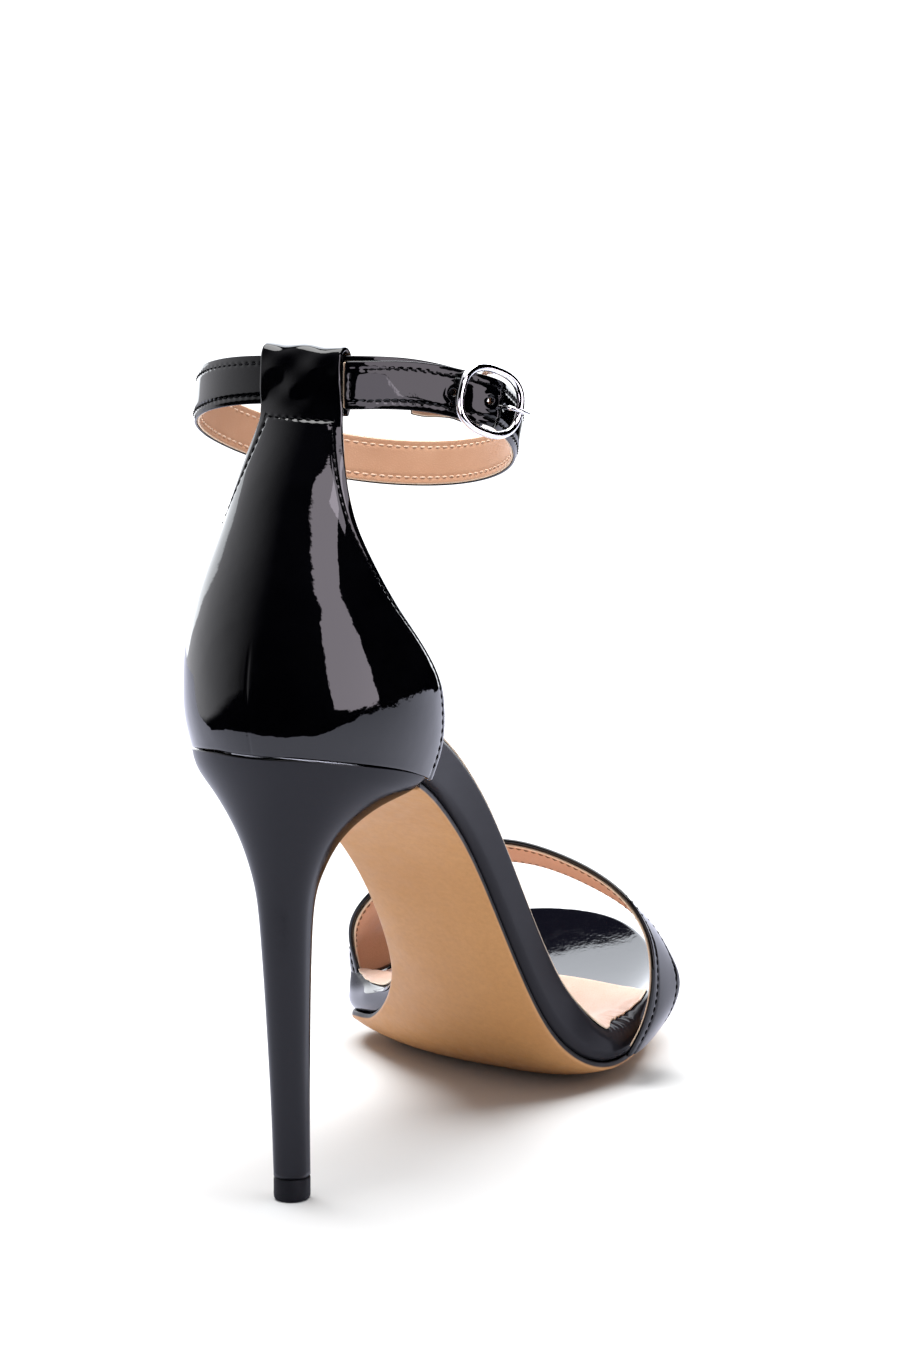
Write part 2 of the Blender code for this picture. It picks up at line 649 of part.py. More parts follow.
def main():
    for old in list(bpy.data.objects):
        bpy.data.objects.remove(old)
    parts = collection("high_heel_sandal")
    helpers = collection("cutters")
    patent = material("patent_leather", (0.006, 0.006, 0.008), 0.08)
    satin = material("heel_black", (0.012, 0.012, 0.014), 0.28)
    rubber = material("tip_black", (0.015, 0.015, 0.015), 0.5)
    tan = material("sole_leather", (0.63, 0.37, 0.19), 0.5)
    lining = material("lining_leather", (0.72, 0.45, 0.29), 0.55)
    silver = material("buckle_silver", (0.8, 0.8, 0.82), 0.12, 1.0)
    make_platform(parts, patent)
    make_outsole(parts, tan)
    make_insole(parts, lining)
    make_heel(parts, satin, rubber)
    make_counter(parts, helpers, patent)
    make_toe_strap(parts, patent)
    make_ankle_strap(parts, helpers, patent)
    make_buckle(parts, helpers, silver)
    root = centre_on_footprint(parts)
    for made in list(parts.objects) + list(helpers.objects):
        if made != root:
            made.parent = root


main()
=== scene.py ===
"""Looks of the stiletto sandal: patent leather, lining, stitches, sole, heel and buckle."""

import math

import bmesh
import bpy
import numpy as np
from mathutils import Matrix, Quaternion, Vector


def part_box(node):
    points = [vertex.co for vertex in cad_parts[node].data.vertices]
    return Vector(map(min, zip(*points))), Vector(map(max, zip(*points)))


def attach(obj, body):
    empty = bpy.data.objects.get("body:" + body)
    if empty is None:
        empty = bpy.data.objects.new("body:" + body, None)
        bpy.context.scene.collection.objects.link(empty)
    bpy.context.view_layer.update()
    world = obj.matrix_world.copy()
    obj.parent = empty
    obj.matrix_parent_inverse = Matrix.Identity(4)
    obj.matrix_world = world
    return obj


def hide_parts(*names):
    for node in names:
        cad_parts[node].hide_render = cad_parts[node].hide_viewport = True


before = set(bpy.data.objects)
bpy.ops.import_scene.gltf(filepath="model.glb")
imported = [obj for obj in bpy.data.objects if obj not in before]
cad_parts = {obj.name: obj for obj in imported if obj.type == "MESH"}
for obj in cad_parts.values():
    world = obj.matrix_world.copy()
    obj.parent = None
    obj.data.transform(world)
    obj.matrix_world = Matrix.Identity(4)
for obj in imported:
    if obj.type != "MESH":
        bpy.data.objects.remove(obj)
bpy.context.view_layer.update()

MM = 0.001
GAP = 0.3 * MM
SEAM = 0.45 * MM


def mm(*values):
    return np.array(values) * MM


def table(columns, *rows):
    """One array in metres for each named column of a table in millimetres."""
    return dict(zip(columns.split(), np.array(rows, float).T * MM))


# The shoe's measures, as its solids have them: from the floor, the counter's back and the heel's middle.
LAST = table(
    "forward height medial lateral lift lead",
    (4.7, 113.4, -25.9, 25.9, 0.0, 0.0),
    (25, 108.6, -25.9, 25.9, 0.0, 0.0),
    (46, 101.3, -24.4, 24.8, 0.0, 0.0),
    (66, 90.4, -20.6, 22.4, 0.3, 0.0),
    (84, 75.6, -17.6, 21.4, 0.8, 0.4),
    (99, 57.0, -16.4, 22.4, 1.5, 1.8),
    (112, 37.4, -17.4, 24.8, 2.4, 3.6),
    (124, 20.8, -21.6, 28.2, 3.2, 5.4),
    (137, 8.6, -31.6, 32.5, 4.3, 6.2),
    (155, 1.9, -45.0, 34.7, 6.0, 6.0),
    (178, 5.6, -46.2, 33.2, 4.6, 3.8),
    (194, 12.2, -45.0, 32.2, 3.2, 1.2),
    (210, 19.6, -44.0, 31.6, 2.4, 0.0),
)
HEEL_ROUND = 35 * MM
TOE_ROUND = 54 * MM
TOE_FULLNESS = 2.6
TOE_TIP = -3 * MM
LIFT_POWER = 3
TOE_LIFT_POWER = 8  # the tread lies flatter before its sides rise
TOE_LIFT = mm(150, 182)  # where the one power turns into the other

PLATFORM = table("forward thickness", (4.7, 11.6), (84, 12.6), (137, 10.8), (210, 10.4))
PLATFORM_CORNER = 2.2 * MM
SOLE_THICKNESS = 2.0 * MM
SOLE_CORNER = 0.6 * MM
SOLE_INSET = 1.5 * MM
SOLE_BACK = 47.6 * MM
SOCK_THICKNESS = 1.2 * MM
SOCK_INSET = 1.6 * MM
SOCK_FRONT = 182.6 * MM

COUNTER = table(
    "back back_height front front_height half_width",
    (2.4, 114.1, 45.0, 101.7, 27.4),
    (0.7, 120, 48.4, 110, 28.7),
    (0.0, 127, 49.0, 119, 28.9),
    (0.6, 134, 46.4, 127.5, 28.4),
    (3.2, 143, 39.4, 137, 26.8),
    (7.2, 152, 31.6, 147, 24.2),
    (11.8, 161.5, 26.6, 157.5, 20.6),
    (16.6, 171, 24.6, 168, 16.6),
    (21.6, 180, 26.4, 179, 13.2),
    (26.6, 188, 29.6, 187.6, 10.9),
    (28.4, 191, 30.4, 190.8, 10.4),
)
COUNTER_WRAP = np.radians((103, 106, 106, 105, 102, 95, 83, 69, 57, 48, 42))

HEEL = table(
    "back widest front half_width back_height front_height",
    (2.4, 37.0, 47.0, 27.9, 113.4, 100.4),
    (3.6, 33.6, 44.4, 25.6, 109.6, 98.6),
    (5.8, 28.5, 40.6, 20.8, 104.0, 96.0),
    (8.0, 24.2, 36.8, 15.8, 98.0, 92.4),
    (10.2, 21.6, 32.8, 11.4, 90.6, 87.6),
    (12.2, 20.3, 29.4, 8.3, 82.6, 81.2),
    (13.6, 19.9, 26.8, 6.5, 74.0, 73.6),
    (14.7, 20.3, 26.1, 5.7, 62.0, 62.0),
    (15.9, 20.9, 26.1, 5.2, 49.0, 49.0),
    (17.6, 22.0, 26.5, 4.5, 25.0, 25.0),
    (18.7, 22.8, 27.0, 4.25, 5.8, 5.8),
)
TOP_PIECE_HEIGHT = 5.5 * MM
BREAST_FULLNESS = 3.4

TOE_STRAP = table(
    "across rear rear_height front front_height",
    (42.0, 149.0, 31.0, 165.8, 23.6),
    (40.0, 150.2, 39.6, 166.0, 29.6),
    (33.0, 151.8, 48.4, 167.2, 38.2),
    (17.0, 154.2, 55.8, 169.4, 46.2),
    (-2.0, 155.8, 58.6, 171.6, 50.0),
    (-19.0, 154.6, 55.3, 173.2, 48.2),
    (-34.0, 152.6, 46.0, 179.0, 40.8),
    (-43.2, 151.2, 34.6, 183.0, 30.0),
)
TOE_STRAP_FEET = table("rear front", (146.5, 170.0), (150.5, 185.0))
TOE_STRAP_THICKNESS = 1.8 * MM
FOOT_LEVELS = (0.08, 0.54, 1.0)
FOOT_BOWS = {1: mm(0.3, 2.7, 4.4), -1: mm(-3.2, -1.8, 0.1)}  # at each level
FOOT_FLARE = {1: 0.4, -1: 0.0}  # how much more the strap's front edge bows out than its rear edge

LOOP_BACK = 32.3 * MM
LOOP_HALF_LENGTH = 34.8 * MM
LOOP_HALF_WIDTH = 39.4 * MM
LOOP_CENTRE = -2.2 * MM
LOOP_HEIGHT = 198.6 * MM
LOOP_DROP = 31.5 * MM
LOOP_SAG = 1.12
LOOP_ROLL = 2.0 * MM
LOOP_LEAN = math.radians(24)
LOOP_UPRIGHT = 40 * MM
STRAP_WIDTH = 12 * MM
STRAP_THICKNESS = 1.6 * MM
BUCKLE_TURN = math.radians(72)
STRAP_RETURN = table("ahead over", (-17, -2.1), (-13, -2.3), (-8.8, -2.75), (-4.5, -2.95))
STRAP_OUT = table("ahead over", (-3.5, 0.45), (-8.8, -0.6), (-14, -0.2), (-20, 0))
STRAP_TAIL = table(
    "ahead over",
    (30, 0), (22, 0), (14, 0.4), (9.2, 0.9), (5.5, 1.8), (2.4, 2.75), (0, 3.05), (-3.5, 2.65), (-6.2, 1.85),
    (-8.8, 1.5), (-14, 1.85), (-20, 2.0), (-27, 2.2), (-36.5, 3.2),
)
PULL = 3.0 * MM  # how far the band runs inside the loop's round line between the tab and the buckle
PULL_FROM = 8 * MM
PULL_TO = 54 * MM
RAISE = 1.4 * MM  # how much higher the band lies at the buckle
RAISE_REACH = 34 * MM
TAIL_DROP = 0.9 * MM  # how much lower the tail's tip lies than the band under it
BAR_OVER = -1.05 * MM
BAR_RADIUS = 0.8 * MM
FOLD_RADIUS = 2.0 * MM
FOLD_SLOT_LENGTH = 7.0 * MM
FOLD_SLOT_WIDTH = 3.2 * MM
FRAME_OVER = 3.7 * MM
FRAME_HALF_LENGTH = 9.3 * MM
FRAME_HALF_HEIGHT = 7.6 * MM
FRAME_FULLNESS = 2.5
FRAME_RADIUS = 1.0 * MM
BAR_BEND = ((0, 0.0), (0.5, 0.1), (0.85, 0.4), (1, 1.0))
PRONG_RADIUS = 0.55 * MM
PRONG_HOOK = 1.5 * MM
PRONG = table(
    "ahead over",
    (0.7, 0.42), (2.4, 0.3), (4.0, 0.35), (4.85, 1.1), (5.2, 2.2), (5.6, 3.4), (6.4, 4.7), (7.8, 5.3),
    (9.4, 5.4), (11.2, 5.0),
)

# What only the looks have.
PATENT_SHARE = 0.62  # of a strap's thickness; the rest is lining
LAYER_GAP = 0.02 * MM  # from the middle between patent and lining to each of them
LINING_INSET = 0.5 * MM
LINING_GROOVE = 0.6  # how deep a row's groove is in the lining, as a share of that in the patent
STITCH_PITCH = 2.15 * MM
STITCH_LENGTH = 1.7 * MM
STITCH_RISE = {"patent": 0.05 * MM, "lining": 0.0}
LINING_STITCH_SINK = 0.12 * MM
THREAD_RADIUS = 0.21 * MM
STITCH_IN = 2.1 * MM  # from a leather edge to its row of stitches
GROOVE_WIDTH = 0.55 * MM
GROOVE_DEPTH = 0.3 * MM
GROOVE_LEAST = 0.55  # between the needle holes, as a share
GROOVE_AT_HOLES = 0.45  # what the needle holes add to that
HOLES_AHEAD = mm(0.0, -8.7)  # the strap's free holes, measured from the buckle's bar
PRONG_HOLE_AHEAD = 5.2 * MM
RETURN_DROP = 1.6 * MM  # how much lower the band's sewn-back end lies than the band over it
HOLE_RADIUS = 0.9 * MM
HOLE_CELLS = 3  # cells of the band's grid from a hole's middle to its edge
STRAP_STEP = 0.44 * MM
STRAP_COLUMNS = 41
STRAP_ROUND = 0.45 * MM  # how far the strap's borders fall away
TIP_STITCH_IN = 1.7 * MM

# The shoe stands where its solids do: the heel's tip gives the middle plane and the place of the back.
tip_low, tip_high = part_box("top_piece")
ORIGIN = np.array(((tip_low.x + tip_high.x) / 2, tip_low.y - HEEL["back"][-1], 0.0))


def natural(knots, values):
    """A natural cubic spline through the knots, as a function of place."""
    knots, values = np.asarray(knots, float), np.asarray(values, float)
    gaps = np.diff(knots)
    slopes = np.diff(values) / gaps
    matrix = np.eye(len(knots))
    pull = np.zeros(len(knots))
    for i in range(1, len(gaps)):
        matrix[i, i - 1 : i + 2] = gaps[i - 1], 2 * (gaps[i - 1] + gaps[i]), gaps[i]
        pull[i] = 6 * (slopes[i] - slopes[i - 1])
    bend = np.linalg.solve(matrix, pull)

    def read(at):
        at = np.asarray(at, float)
        i = np.clip(np.searchsorted(knots, at) - 1, 0, len(gaps) - 1)
        left, right, gap = at - knots[i], knots[i + 1] - at, gaps[i]
        curve = (bend[i] * right**3 + bend[i + 1] * left**3) / (6 * gap)
        curve += (values[i] / gap - bend[i] * gap / 6) * right
        curve += (values[i + 1] / gap - bend[i + 1] * gap / 6) * left
        return curve

    return read


def running_length(points):
    """Distance along a line of points, from its first one."""
    steps = np.linalg.norm(np.diff(points, axis=0), axis=1)
    return np.concatenate([[0], np.cumsum(steps)])


def resample(points, count):
    """Evenly spaced points of the smooth line through the given ones."""
    points = np.asarray(points, float)
    lengths = running_length(points)
    places = np.linspace(0, lengths[-1], count)
    return np.stack([natural(lengths, axis)(places) for axis in points.T], -1)


def unit(vectors):
    return vectors / np.maximum(np.linalg.norm(vectors, axis=-1, keepdims=True), 1e-12)


def smooth(low, high, at):
    share = np.clip((at - low) / (high - low), 0, 1)
    return share * share * (3 - 2 * share)


def bell(at, width):
    return np.exp(-((at / width) ** 2))


def wave(at, pitch):
    return 0.5 + 0.5 * np.cos(2 * math.pi * at / pitch)


def blend(first, second, share):
    return first + (second - first) * share


def full_turn(count):
    return np.linspace(0, 2 * math.pi, count, endpoint=False)


def spokes(side, up, count):
    """Directions all round, in the plane of the two given ones."""
    turns = full_turn(count)
    return np.cos(turns)[:, None] * side + np.sin(turns)[:, None] * up


def read_along(at, lengths, values):
    """The values of a line's points, read at these distances along it."""
    return np.stack([np.interp(at, lengths, axis) for axis in values.T], -1)


ALONG = running_length(np.stack([LAST["forward"], LAST["height"]], 1))
LAST_LENGTH = ALONG[-1]
ON_LAST = {column: natural(ALONG, values) for column, values in LAST.items()}
LAST_STEPS = 2400
FINE_ALONG = np.linspace(0, LAST_LENGTH, LAST_STEPS)
FINE_FORWARD = ON_LAST["forward"](FINE_ALONG)
PLATFORM_THICKNESS = natural(PLATFORM["forward"], PLATFORM["thickness"])


def along_at(forward):
    return np.interp(forward, FINE_FORWARD, FINE_ALONG)


def underside(forward):
    return ON_LAST["height"](along_at(forward))


def side_of(along, side, inset=0.0):
    """Where the outline's inner (-1) or outer (1) side lies, this far inside the platform's edge."""
    along = np.asarray(along, float)
    reach = ON_LAST["lateral" if side > 0 else "medial"](along) - side * inset
    heel = np.clip((HEEL_ROUND - along) / (HEEL_ROUND - inset), 0, 1)
    toe = np.clip((along - LAST_LENGTH + TOE_ROUND) / (TOE_ROUND - inset), 0, 1)
    reach = reach * np.sqrt(1 - heel**2)
    rounded = blend(TOE_TIP, reach, (1 - toe**TOE_FULLNESS) ** (1 / TOE_FULLNESS))
    return np.where(toe > 0, rounded, reach)


def last_point(along, across, over):
    """Points across the last and this far over its underside, square to it."""
    along, across, over = np.broadcast_arrays(*(np.asarray(value, float) for value in (along, across, over)))
    half = np.where(across > 0, ON_LAST["lateral"](along), -ON_LAST["medial"](along))
    share = across / half
    forward = ON_LAST["forward"](along)
    level = along_at(forward + ON_LAST["lead"](along) * share)
    step = 0.05 * MM
    run, rise = (ON_LAST[name](level + step) - ON_LAST[name](level - step) for name in ("forward", "height"))
    slope = np.arctan2(rise, run)
    power = blend(LIFT_POWER, TOE_LIFT_POWER, smooth(*TOE_LIFT, forward))
    over = over + ON_LAST["lift"](along) * np.abs(share) ** power
    height = ON_LAST["height"](level) + over * np.cos(slope)
    return np.stack([across, forward - over * np.sin(slope), height], -1)


FIRST_TURN = 0.03  # the first row round an end, as an angle


def places_along(start, end, round_heel, round_toe, between, turns):
    """Places along the last, closer together where the outline turns round an end."""
    ease = 1 - np.cos(np.linspace(FIRST_TURN, math.pi / 2, turns))
    heel = blend(start, HEEL_ROUND, ease) if round_heel else np.array([start])
    toe = end - (TOE_ROUND - LAST_LENGTH + end) * ease[::-1] if round_toe else np.array([end])
    return np.concatenate([heel, np.linspace(heel[-1], toe[0], between)[1:-1], toe])


def add_object(name, data):
    made = bpy.data.objects.new(name, data)
    bpy.context.scene.collection.objects.link(made)
    return made


def mesh_piece(name, points, faces, finish, node=None, attributes=None):
    """A smooth closed piece of the shoe, from points in the shoe's own measures, riding on its one body."""
    mesh = bpy.data.meshes.new(name)
    mesh.from_pydata((np.asarray(points) + ORIGIN).tolist(), [], faces)
    for title, values in (attributes or {}).items():
        layer = mesh.attributes.new(title, "FLOAT", "POINT")
        layer.data.foreach_set("value", np.asarray(values, np.float32))
    work = bmesh.new()
    work.from_mesh(mesh)
    bmesh.ops.delete(work, geom=[point for point in work.verts if not point.link_faces], context="VERTS")
    bmesh.ops.recalc_face_normals(work, faces=work.faces)
    work.to_mesh(mesh)
    work.free()
    mesh.shade_smooth()
    mesh.materials.append(finish)
    piece = add_object(name, mesh)
    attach(piece, "root")
    if node:
        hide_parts(node)


def quads(rows, columns, closed=False, first=0):
    """Quads between the rows of a grid of points, each row closed on itself or open."""
    i, j = np.meshgrid(np.arange(rows - 1), np.arange(columns if closed else columns - 1), indexing="ij")
    after = (j + 1) % columns
    corners = [i * columns + j, i * columns + after, (i + 1) * columns + after, (i + 1) * columns + j]
    return (np.stack(corners, -1).reshape(-1, 4) + first).tolist()


def loft(name, rings, finish, node=None, attributes=None):
    """A closed piece through rings of equally many points, its ends drawn together to their middles."""
    rings = np.asarray(rings)
    rows, columns = rings.shape[:2]
    points = np.concatenate([rings.reshape(-1, 3), rings[:1].mean(1), rings[-1:].mean(1)])
    faces = quads(rows, columns, closed=True)
    start, end = rows * columns, rows * columns + 1
    last = (rows - 1) * columns
    for j in range(columns):
        after = (j + 1) % columns
        faces.append((after, j, start))
        faces.append((last + j, last + after, end))
    mesh_piece(name, points, faces, finish, node, attributes)


def grid_normals(grid):
    return unit(np.cross(np.gradient(grid, axis=1), np.gradient(grid, axis=0)))


RIM_TURNS = np.radians((22.5, 45, 67.5, 90, 112.5, 135, 157.5))


def sheet_piece(name, grid, low, high, finish, node=None, missing=None):
    """A leather layer over a grid: its faces lie low and high along the normals, its rim is round.

    The point attribute "rim" is 1 on the rim. Where cells of the grid are missing, the layer has a hole.
    """
    rows, columns = grid.shape[:2]
    normals = grid_normals(grid)
    low, high = np.broadcast_to(low, (rows, columns)), np.broadcast_to(high, (rows, columns))
    top = grid + normals * high[..., None]
    bottom = grid + normals * low[..., None]
    index = np.arange(rows * columns).reshape(rows, columns)
    border = np.concatenate([index[0, :-1], index[:-1, -1], index[-1, :0:-1], index[:0:-1, 0]])
    across, along = unit(np.gradient(grid, axis=0)), unit(np.gradient(grid, axis=1))
    away = np.zeros_like(grid)
    away[0] -= across[0]
    away[-1] += across[-1]
    away[:, 0] -= along[:, 0]
    away[:, -1] += along[:, -1]
    away = unit(away).reshape(-1, 3)[border]
    normal = normals.reshape(-1, 3)[border]
    middle = ((low + high) / 2).reshape(-1)[border][:, None]
    radius = ((high - low) / 2).reshape(-1)[border][:, None]
    place = grid.reshape(-1, 3)[border]
    rim = [place + normal * (middle + radius * math.cos(t)) + away * radius * math.sin(t) for t in RIM_TURNS]
    points = np.concatenate([top.reshape(-1, 3), bottom.reshape(-1, 3), *rim])
    count = rows * columns
    cells = np.array(quads(rows, columns))
    faces = []
    if missing is not None:
        for first, second, edges in (
            (missing[:-1], missing[1:], np.stack([index[1:-1, :-1], index[1:-1, 1:]], -1)),
            (missing[:, :-1], missing[:, 1:], np.stack([index[:-1, 1:-1], index[1:, 1:-1]], -1)),
        ):
            walls = edges[first != second]
            faces += np.concatenate([walls, walls[:, ::-1] + count], 1).tolist()
        cells = cells[~missing.reshape(-1)]
    faces += cells.tolist() + (cells[:, ::-1] + count).tolist()
    rims = [2 * count + k * len(border) + np.arange(len(border)) for k in range(len(rim))]
    loops = [border, *rims, border + count]
    for upper, lower in zip(loops, loops[1:]):
        ends = np.stack([upper, lower, np.roll(lower, -1), np.roll(upper, -1)], -1)
        faces += ends.tolist()
    edge = np.zeros(len(points))
    edge[2 * count :] = 1
    mesh_piece(name, points, faces, finish, node, {"rim": edge})


TUBE_START = (0.3, 0.2, 0.9)  # points away from every wire's first run
CAP_TURNS = np.radians((30, 60, 82))


def tube(name, line, radius, finish, node=None, sides=16, closed=False):
    """A round wire along a line, its radius one number or one for each point, closed or with round ends."""
    line = np.asarray(line, float)
    radius = np.broadcast_to(radius, len(line)).astype(float)
    if closed:
        run = unit(np.roll(line, -1, 0) - np.roll(line, 1, 0))
    else:
        run = unit(np.gradient(line, axis=0))
    side = np.cross(run[0], TUBE_START)
    rings = []
    for i, place in enumerate(line):
        side = unit(side - run[i] * np.dot(side, run[i]))
        rings.append(place + radius[i] * spokes(side, np.cross(run[i], side), sides))
    if closed:
        faces = quads(len(rings), sides, closed=True)
        shift = int(np.argmin(np.linalg.norm(rings[0] - rings[-1][0], axis=1)))
        last = (len(rings) - 1) * sides
        for j in range(sides):
            after = (j + 1) % sides
            faces.append((last + j, last + after, (after + shift) % sides, (j + shift) % sides))
        mesh_piece(name, np.concatenate(rings), faces, finish, node)
        return
    caps = [
        [
            line[end] + (rings[end] - line[end]) * math.cos(t) + run[end] * sign * radius[end] * math.sin(t)
            for t in CAP_TURNS
        ]
        for end, sign in ((0, -1), (-1, 1))
    ]
    loft(name, caps[0][::-1] + rings + caps[1], finish, node)


STITCH_SIDES = 7
# A stitch's rings: how far along it each one lies, and how thick it is there.
STITCH_SHARES = np.array((0.0, 0.06, 0.2, 0.5, 0.8, 0.94, 1.0))
STITCH_GIRTHS = (0.25, 0.75, 1.0, 1.08, 1.0, 0.75, 0.25)
ARCH_RISE = 1.5  # in thread radii, like the next one
ARCH_SINK = 0.9


def stitches(name, line, normals, finish, slot):
    """A row of thread stitches along a line on leather: each one dips into its needle holes."""
    line, normals = np.asarray(line), unit(np.asarray(normals))
    lengths = running_length(line)
    count = int(lengths[-1] / STITCH_PITCH)
    start = (lengths[-1] - count * STITCH_PITCH) / 2
    rows = len(STITCH_SHARES)
    rise = THREAD_RADIUS * (ARCH_RISE * np.sin(math.pi * STITCH_SHARES) - ARCH_SINK) + STITCH_RISE[slot]
    points, faces = [], []
    for k in range(count):
        places = start + k * STITCH_PITCH + STITCH_SHARES * STITCH_LENGTH
        middles, up = read_along(places, lengths, line), unit(read_along(places, lengths, normals))
        side = unit(np.cross(unit(middles[-1] - middles[0]), up))
        middles = middles + up * rise[:, None]
        for i, girth in enumerate(STITCH_GIRTHS):
            points.append(middles[i] + spokes(side[i], up[i], STITCH_SIDES) * THREAD_RADIUS * girth)
        first = k * rows * STITCH_SIDES
        last = first + (rows - 1) * STITCH_SIDES
        faces += quads(rows, STITCH_SIDES, closed=True, first=first)
        faces.append(tuple(range(first + STITCH_SIDES - 1, first - 1, -1)))
        faces.append(tuple(range(last, last + STITCH_SIDES)))
    mesh_piece(name, np.concatenate(points), faces, finish)


def groove(across, along, place):
    """How far a row of stitches pulls the leather down: deepest at the needle holes."""
    depth = GROOVE_DEPTH * (GROOVE_LEAST + GROOVE_AT_HOLES * wave(along, STITCH_PITCH))
    return -depth * bell(across - place, GROOVE_WIDTH)


# The waves of stretched leather: their run along each axis and their start.
WAVES = ((1.7, 0.6, 2.1, 0.0), (0.7, 2.3, -1.1, 1.3), (-2.2, 1.4, 1.9, 4.1))


def ripple(points, size, depth):
    """A slow unevenness of stretched leather, the same in every run."""
    x, y, z = (points[..., axis] / size for axis in range(3))
    return depth * sum(np.sin(a * x + b * y + c * z + start) for a, b, c, start in WAVES) / len(WAVES)


def add_node(tree, kind, inputs, output=0, **settings):
    """One output of a new node, whose inputs are given values or linked to other outputs."""
    node = tree.nodes.new("ShaderNode" + kind)
    for title, value in settings.items():
        setattr(node, title, value)
    for title, value in inputs.items():
        if isinstance(value, bpy.types.NodeSocket):
            tree.links.new(value, node.inputs[title])
        else:
            node.inputs[title].default_value = value
    return node.outputs[output]


# The colour sockets of a mix node, by number because they share their names with others.
MIX_FIRST, MIX_SECOND, MIX_RESULT = 6, 7, 2
NOISE_LOW, NOISE_HIGH = 0.3, 0.7  # most of a noise lies between these


class Nodes:
    """Short forms for building a material's nodes."""

    def __init__(self, name, **values):
        self.material = bpy.data.materials.new(name)
        self.material.use_nodes = True
        self.tree = self.material.node_tree
        self.shader = self.tree.nodes["Principled BSDF"]
        self.place = add_node(self.tree, "TexCoord", {}, "Object")
        for title, value in values.items():
            self.shader.inputs[title.replace("_", " ")].default_value = value

    def link(self, title, source):
        self.tree.links.new(source, self.shader.inputs[title])

    def noise(self, scale, detail=3.0, rough=0.55):
        inputs = {"Vector": self.place, "Scale": scale, "Detail": detail, "Roughness": rough}
        return add_node(self.tree, "TexNoise", inputs, "Fac")

    def cells(self, scale):
        inputs = {"Vector": self.place, "Scale": scale}
        return add_node(self.tree, "TexVoronoi", inputs, "Distance", feature="DISTANCE_TO_EDGE")

    def attribute(self, title):
        return add_node(self.tree, "Attribute", {}, "Fac", attribute_name=title)

    def spread(self, source, low, high, to_low, to_high):
        inputs = {"Value": source, "From Min": low, "From Max": high, "To Min": to_low, "To Max": to_high}
        return add_node(self.tree, "MapRange", inputs, "Result")

    def uneven(self, scale, low, high):
        return self.spread(self.noise(scale), NOISE_LOW, NOISE_HIGH, low, high)

    def mix(self, share, first, second):
        inputs = {"Factor": share, MIX_FIRST: first, MIX_SECOND: second}
        for title in (MIX_FIRST, MIX_SECOND):
            if isinstance(inputs[title], tuple):
                inputs[title] = (*inputs[title], 1)
        return add_node(self.tree, "Mix", inputs, MIX_RESULT, data_type="RGBA")

    def bump(self, height, distance, strength, below=None):
        inputs = {"Height": height, "Distance": distance, "Strength": strength}
        if below:
            inputs["Normal"] = below
        return add_node(self.tree, "Bump", inputs, "Normal")


def patent_leather(name, gloss, waves):
    """Black lacquered leather; waves is how strongly its gloss wavers."""
    coat = {"Coat_Weight": gloss, "Coat_Roughness": 0.02, "Coat_IOR": 1.5}
    nodes = Nodes(name, Roughness=0.3, Specular_IOR_Level=0.0, **coat)
    tone = nodes.spread(nodes.noise(60, 2), 0.35, 0.65, 0.0, 1.0)
    nodes.link("Base Color", nodes.mix(tone, (0.0006, 0.0006, 0.0011), (0.0014, 0.0014, 0.0021)))
    slow = nodes.bump(nodes.noise(150, 1), 0.00012, waves)
    nodes.link("Coat Normal", nodes.bump(nodes.noise(700, 2), 0.00002, 0.5, slow))
    nodes.link("Normal", nodes.bump(nodes.cells(900), 0.00004, 0.4, slow))
    return nodes.material


def satin_black(name):
    """A black cover that is duller than the patent, and as bright as it where the attribute "gloss" is 1."""
    nodes = Nodes(name, Roughness=0.5, Specular_IOR_Level=0.0)
    gloss = nodes.attribute("gloss")
    deep = nodes.mix(nodes.noise(45), (0.002, 0.002, 0.004), (0.004, 0.004, 0.007))
    dull = (0.017, 0.0165, 0.021)
    nodes.link("Base Color", nodes.mix(nodes.spread(gloss, 0.0, 0.4, 0.0, 1.0), dull, deep))
    nodes.link("Coat Weight", nodes.spread(gloss, 0.0, 1.0, 0.24, 1.0))
    wavering = add_node(nodes.tree, "Math", {0: gloss, 1: nodes.uneven(220, -0.15, 0.15)})
    nodes.link("Coat Roughness", nodes.spread(wavering, 0.0, 1.0, 0.22, 0.03))
    slow = nodes.bump(nodes.noise(150, 1), 0.00004, 0.4)
    nodes.link("Coat Normal", nodes.bump(nodes.noise(900, 2), 0.00002, 0.4, slow))
    return nodes.material


def tip_rubber():
    nodes = Nodes("tip_rubber", Specular_IOR_Level=0.15)
    nodes.link("Base Color", nodes.mix(nodes.noise(300), (0.004, 0.004, 0.006), (0.009, 0.009, 0.012)))
    nodes.link("Roughness", nodes.uneven(500, 0.42, 0.6))
    nodes.link("Normal", nodes.bump(nodes.noise(1500), 0.00004, 0.6))
    return nodes.material


def sole_leather():
    nodes = Nodes("sole_leather", IOR=1.45, Specular_IOR_Level=0.3, Coat_Weight=0.05, Coat_Roughness=0.35)
    colour = nodes.mix(nodes.uneven(22, 0.0, 1.0), (0.53, 0.262, 0.097), (0.60, 0.31, 0.123))
    fibres = nodes.spread(nodes.noise(700, 5, 0.7), 0.38, 0.72, 0.0, 0.45)
    colour = nodes.mix(fibres, colour, (0.43, 0.215, 0.084))
    nodes.link("Base Color", nodes.mix(nodes.attribute("ink"), colour, (0.008, 0.007, 0.007)))
    nodes.link("Roughness", nodes.uneven(260, 0.4, 0.55))
    slow = nodes.bump(nodes.noise(90, 2), 0.0002, 0.25)
    nodes.link("Normal", nodes.bump(nodes.noise(1300, 4), 0.00004, 0.5, slow))
    return nodes.material


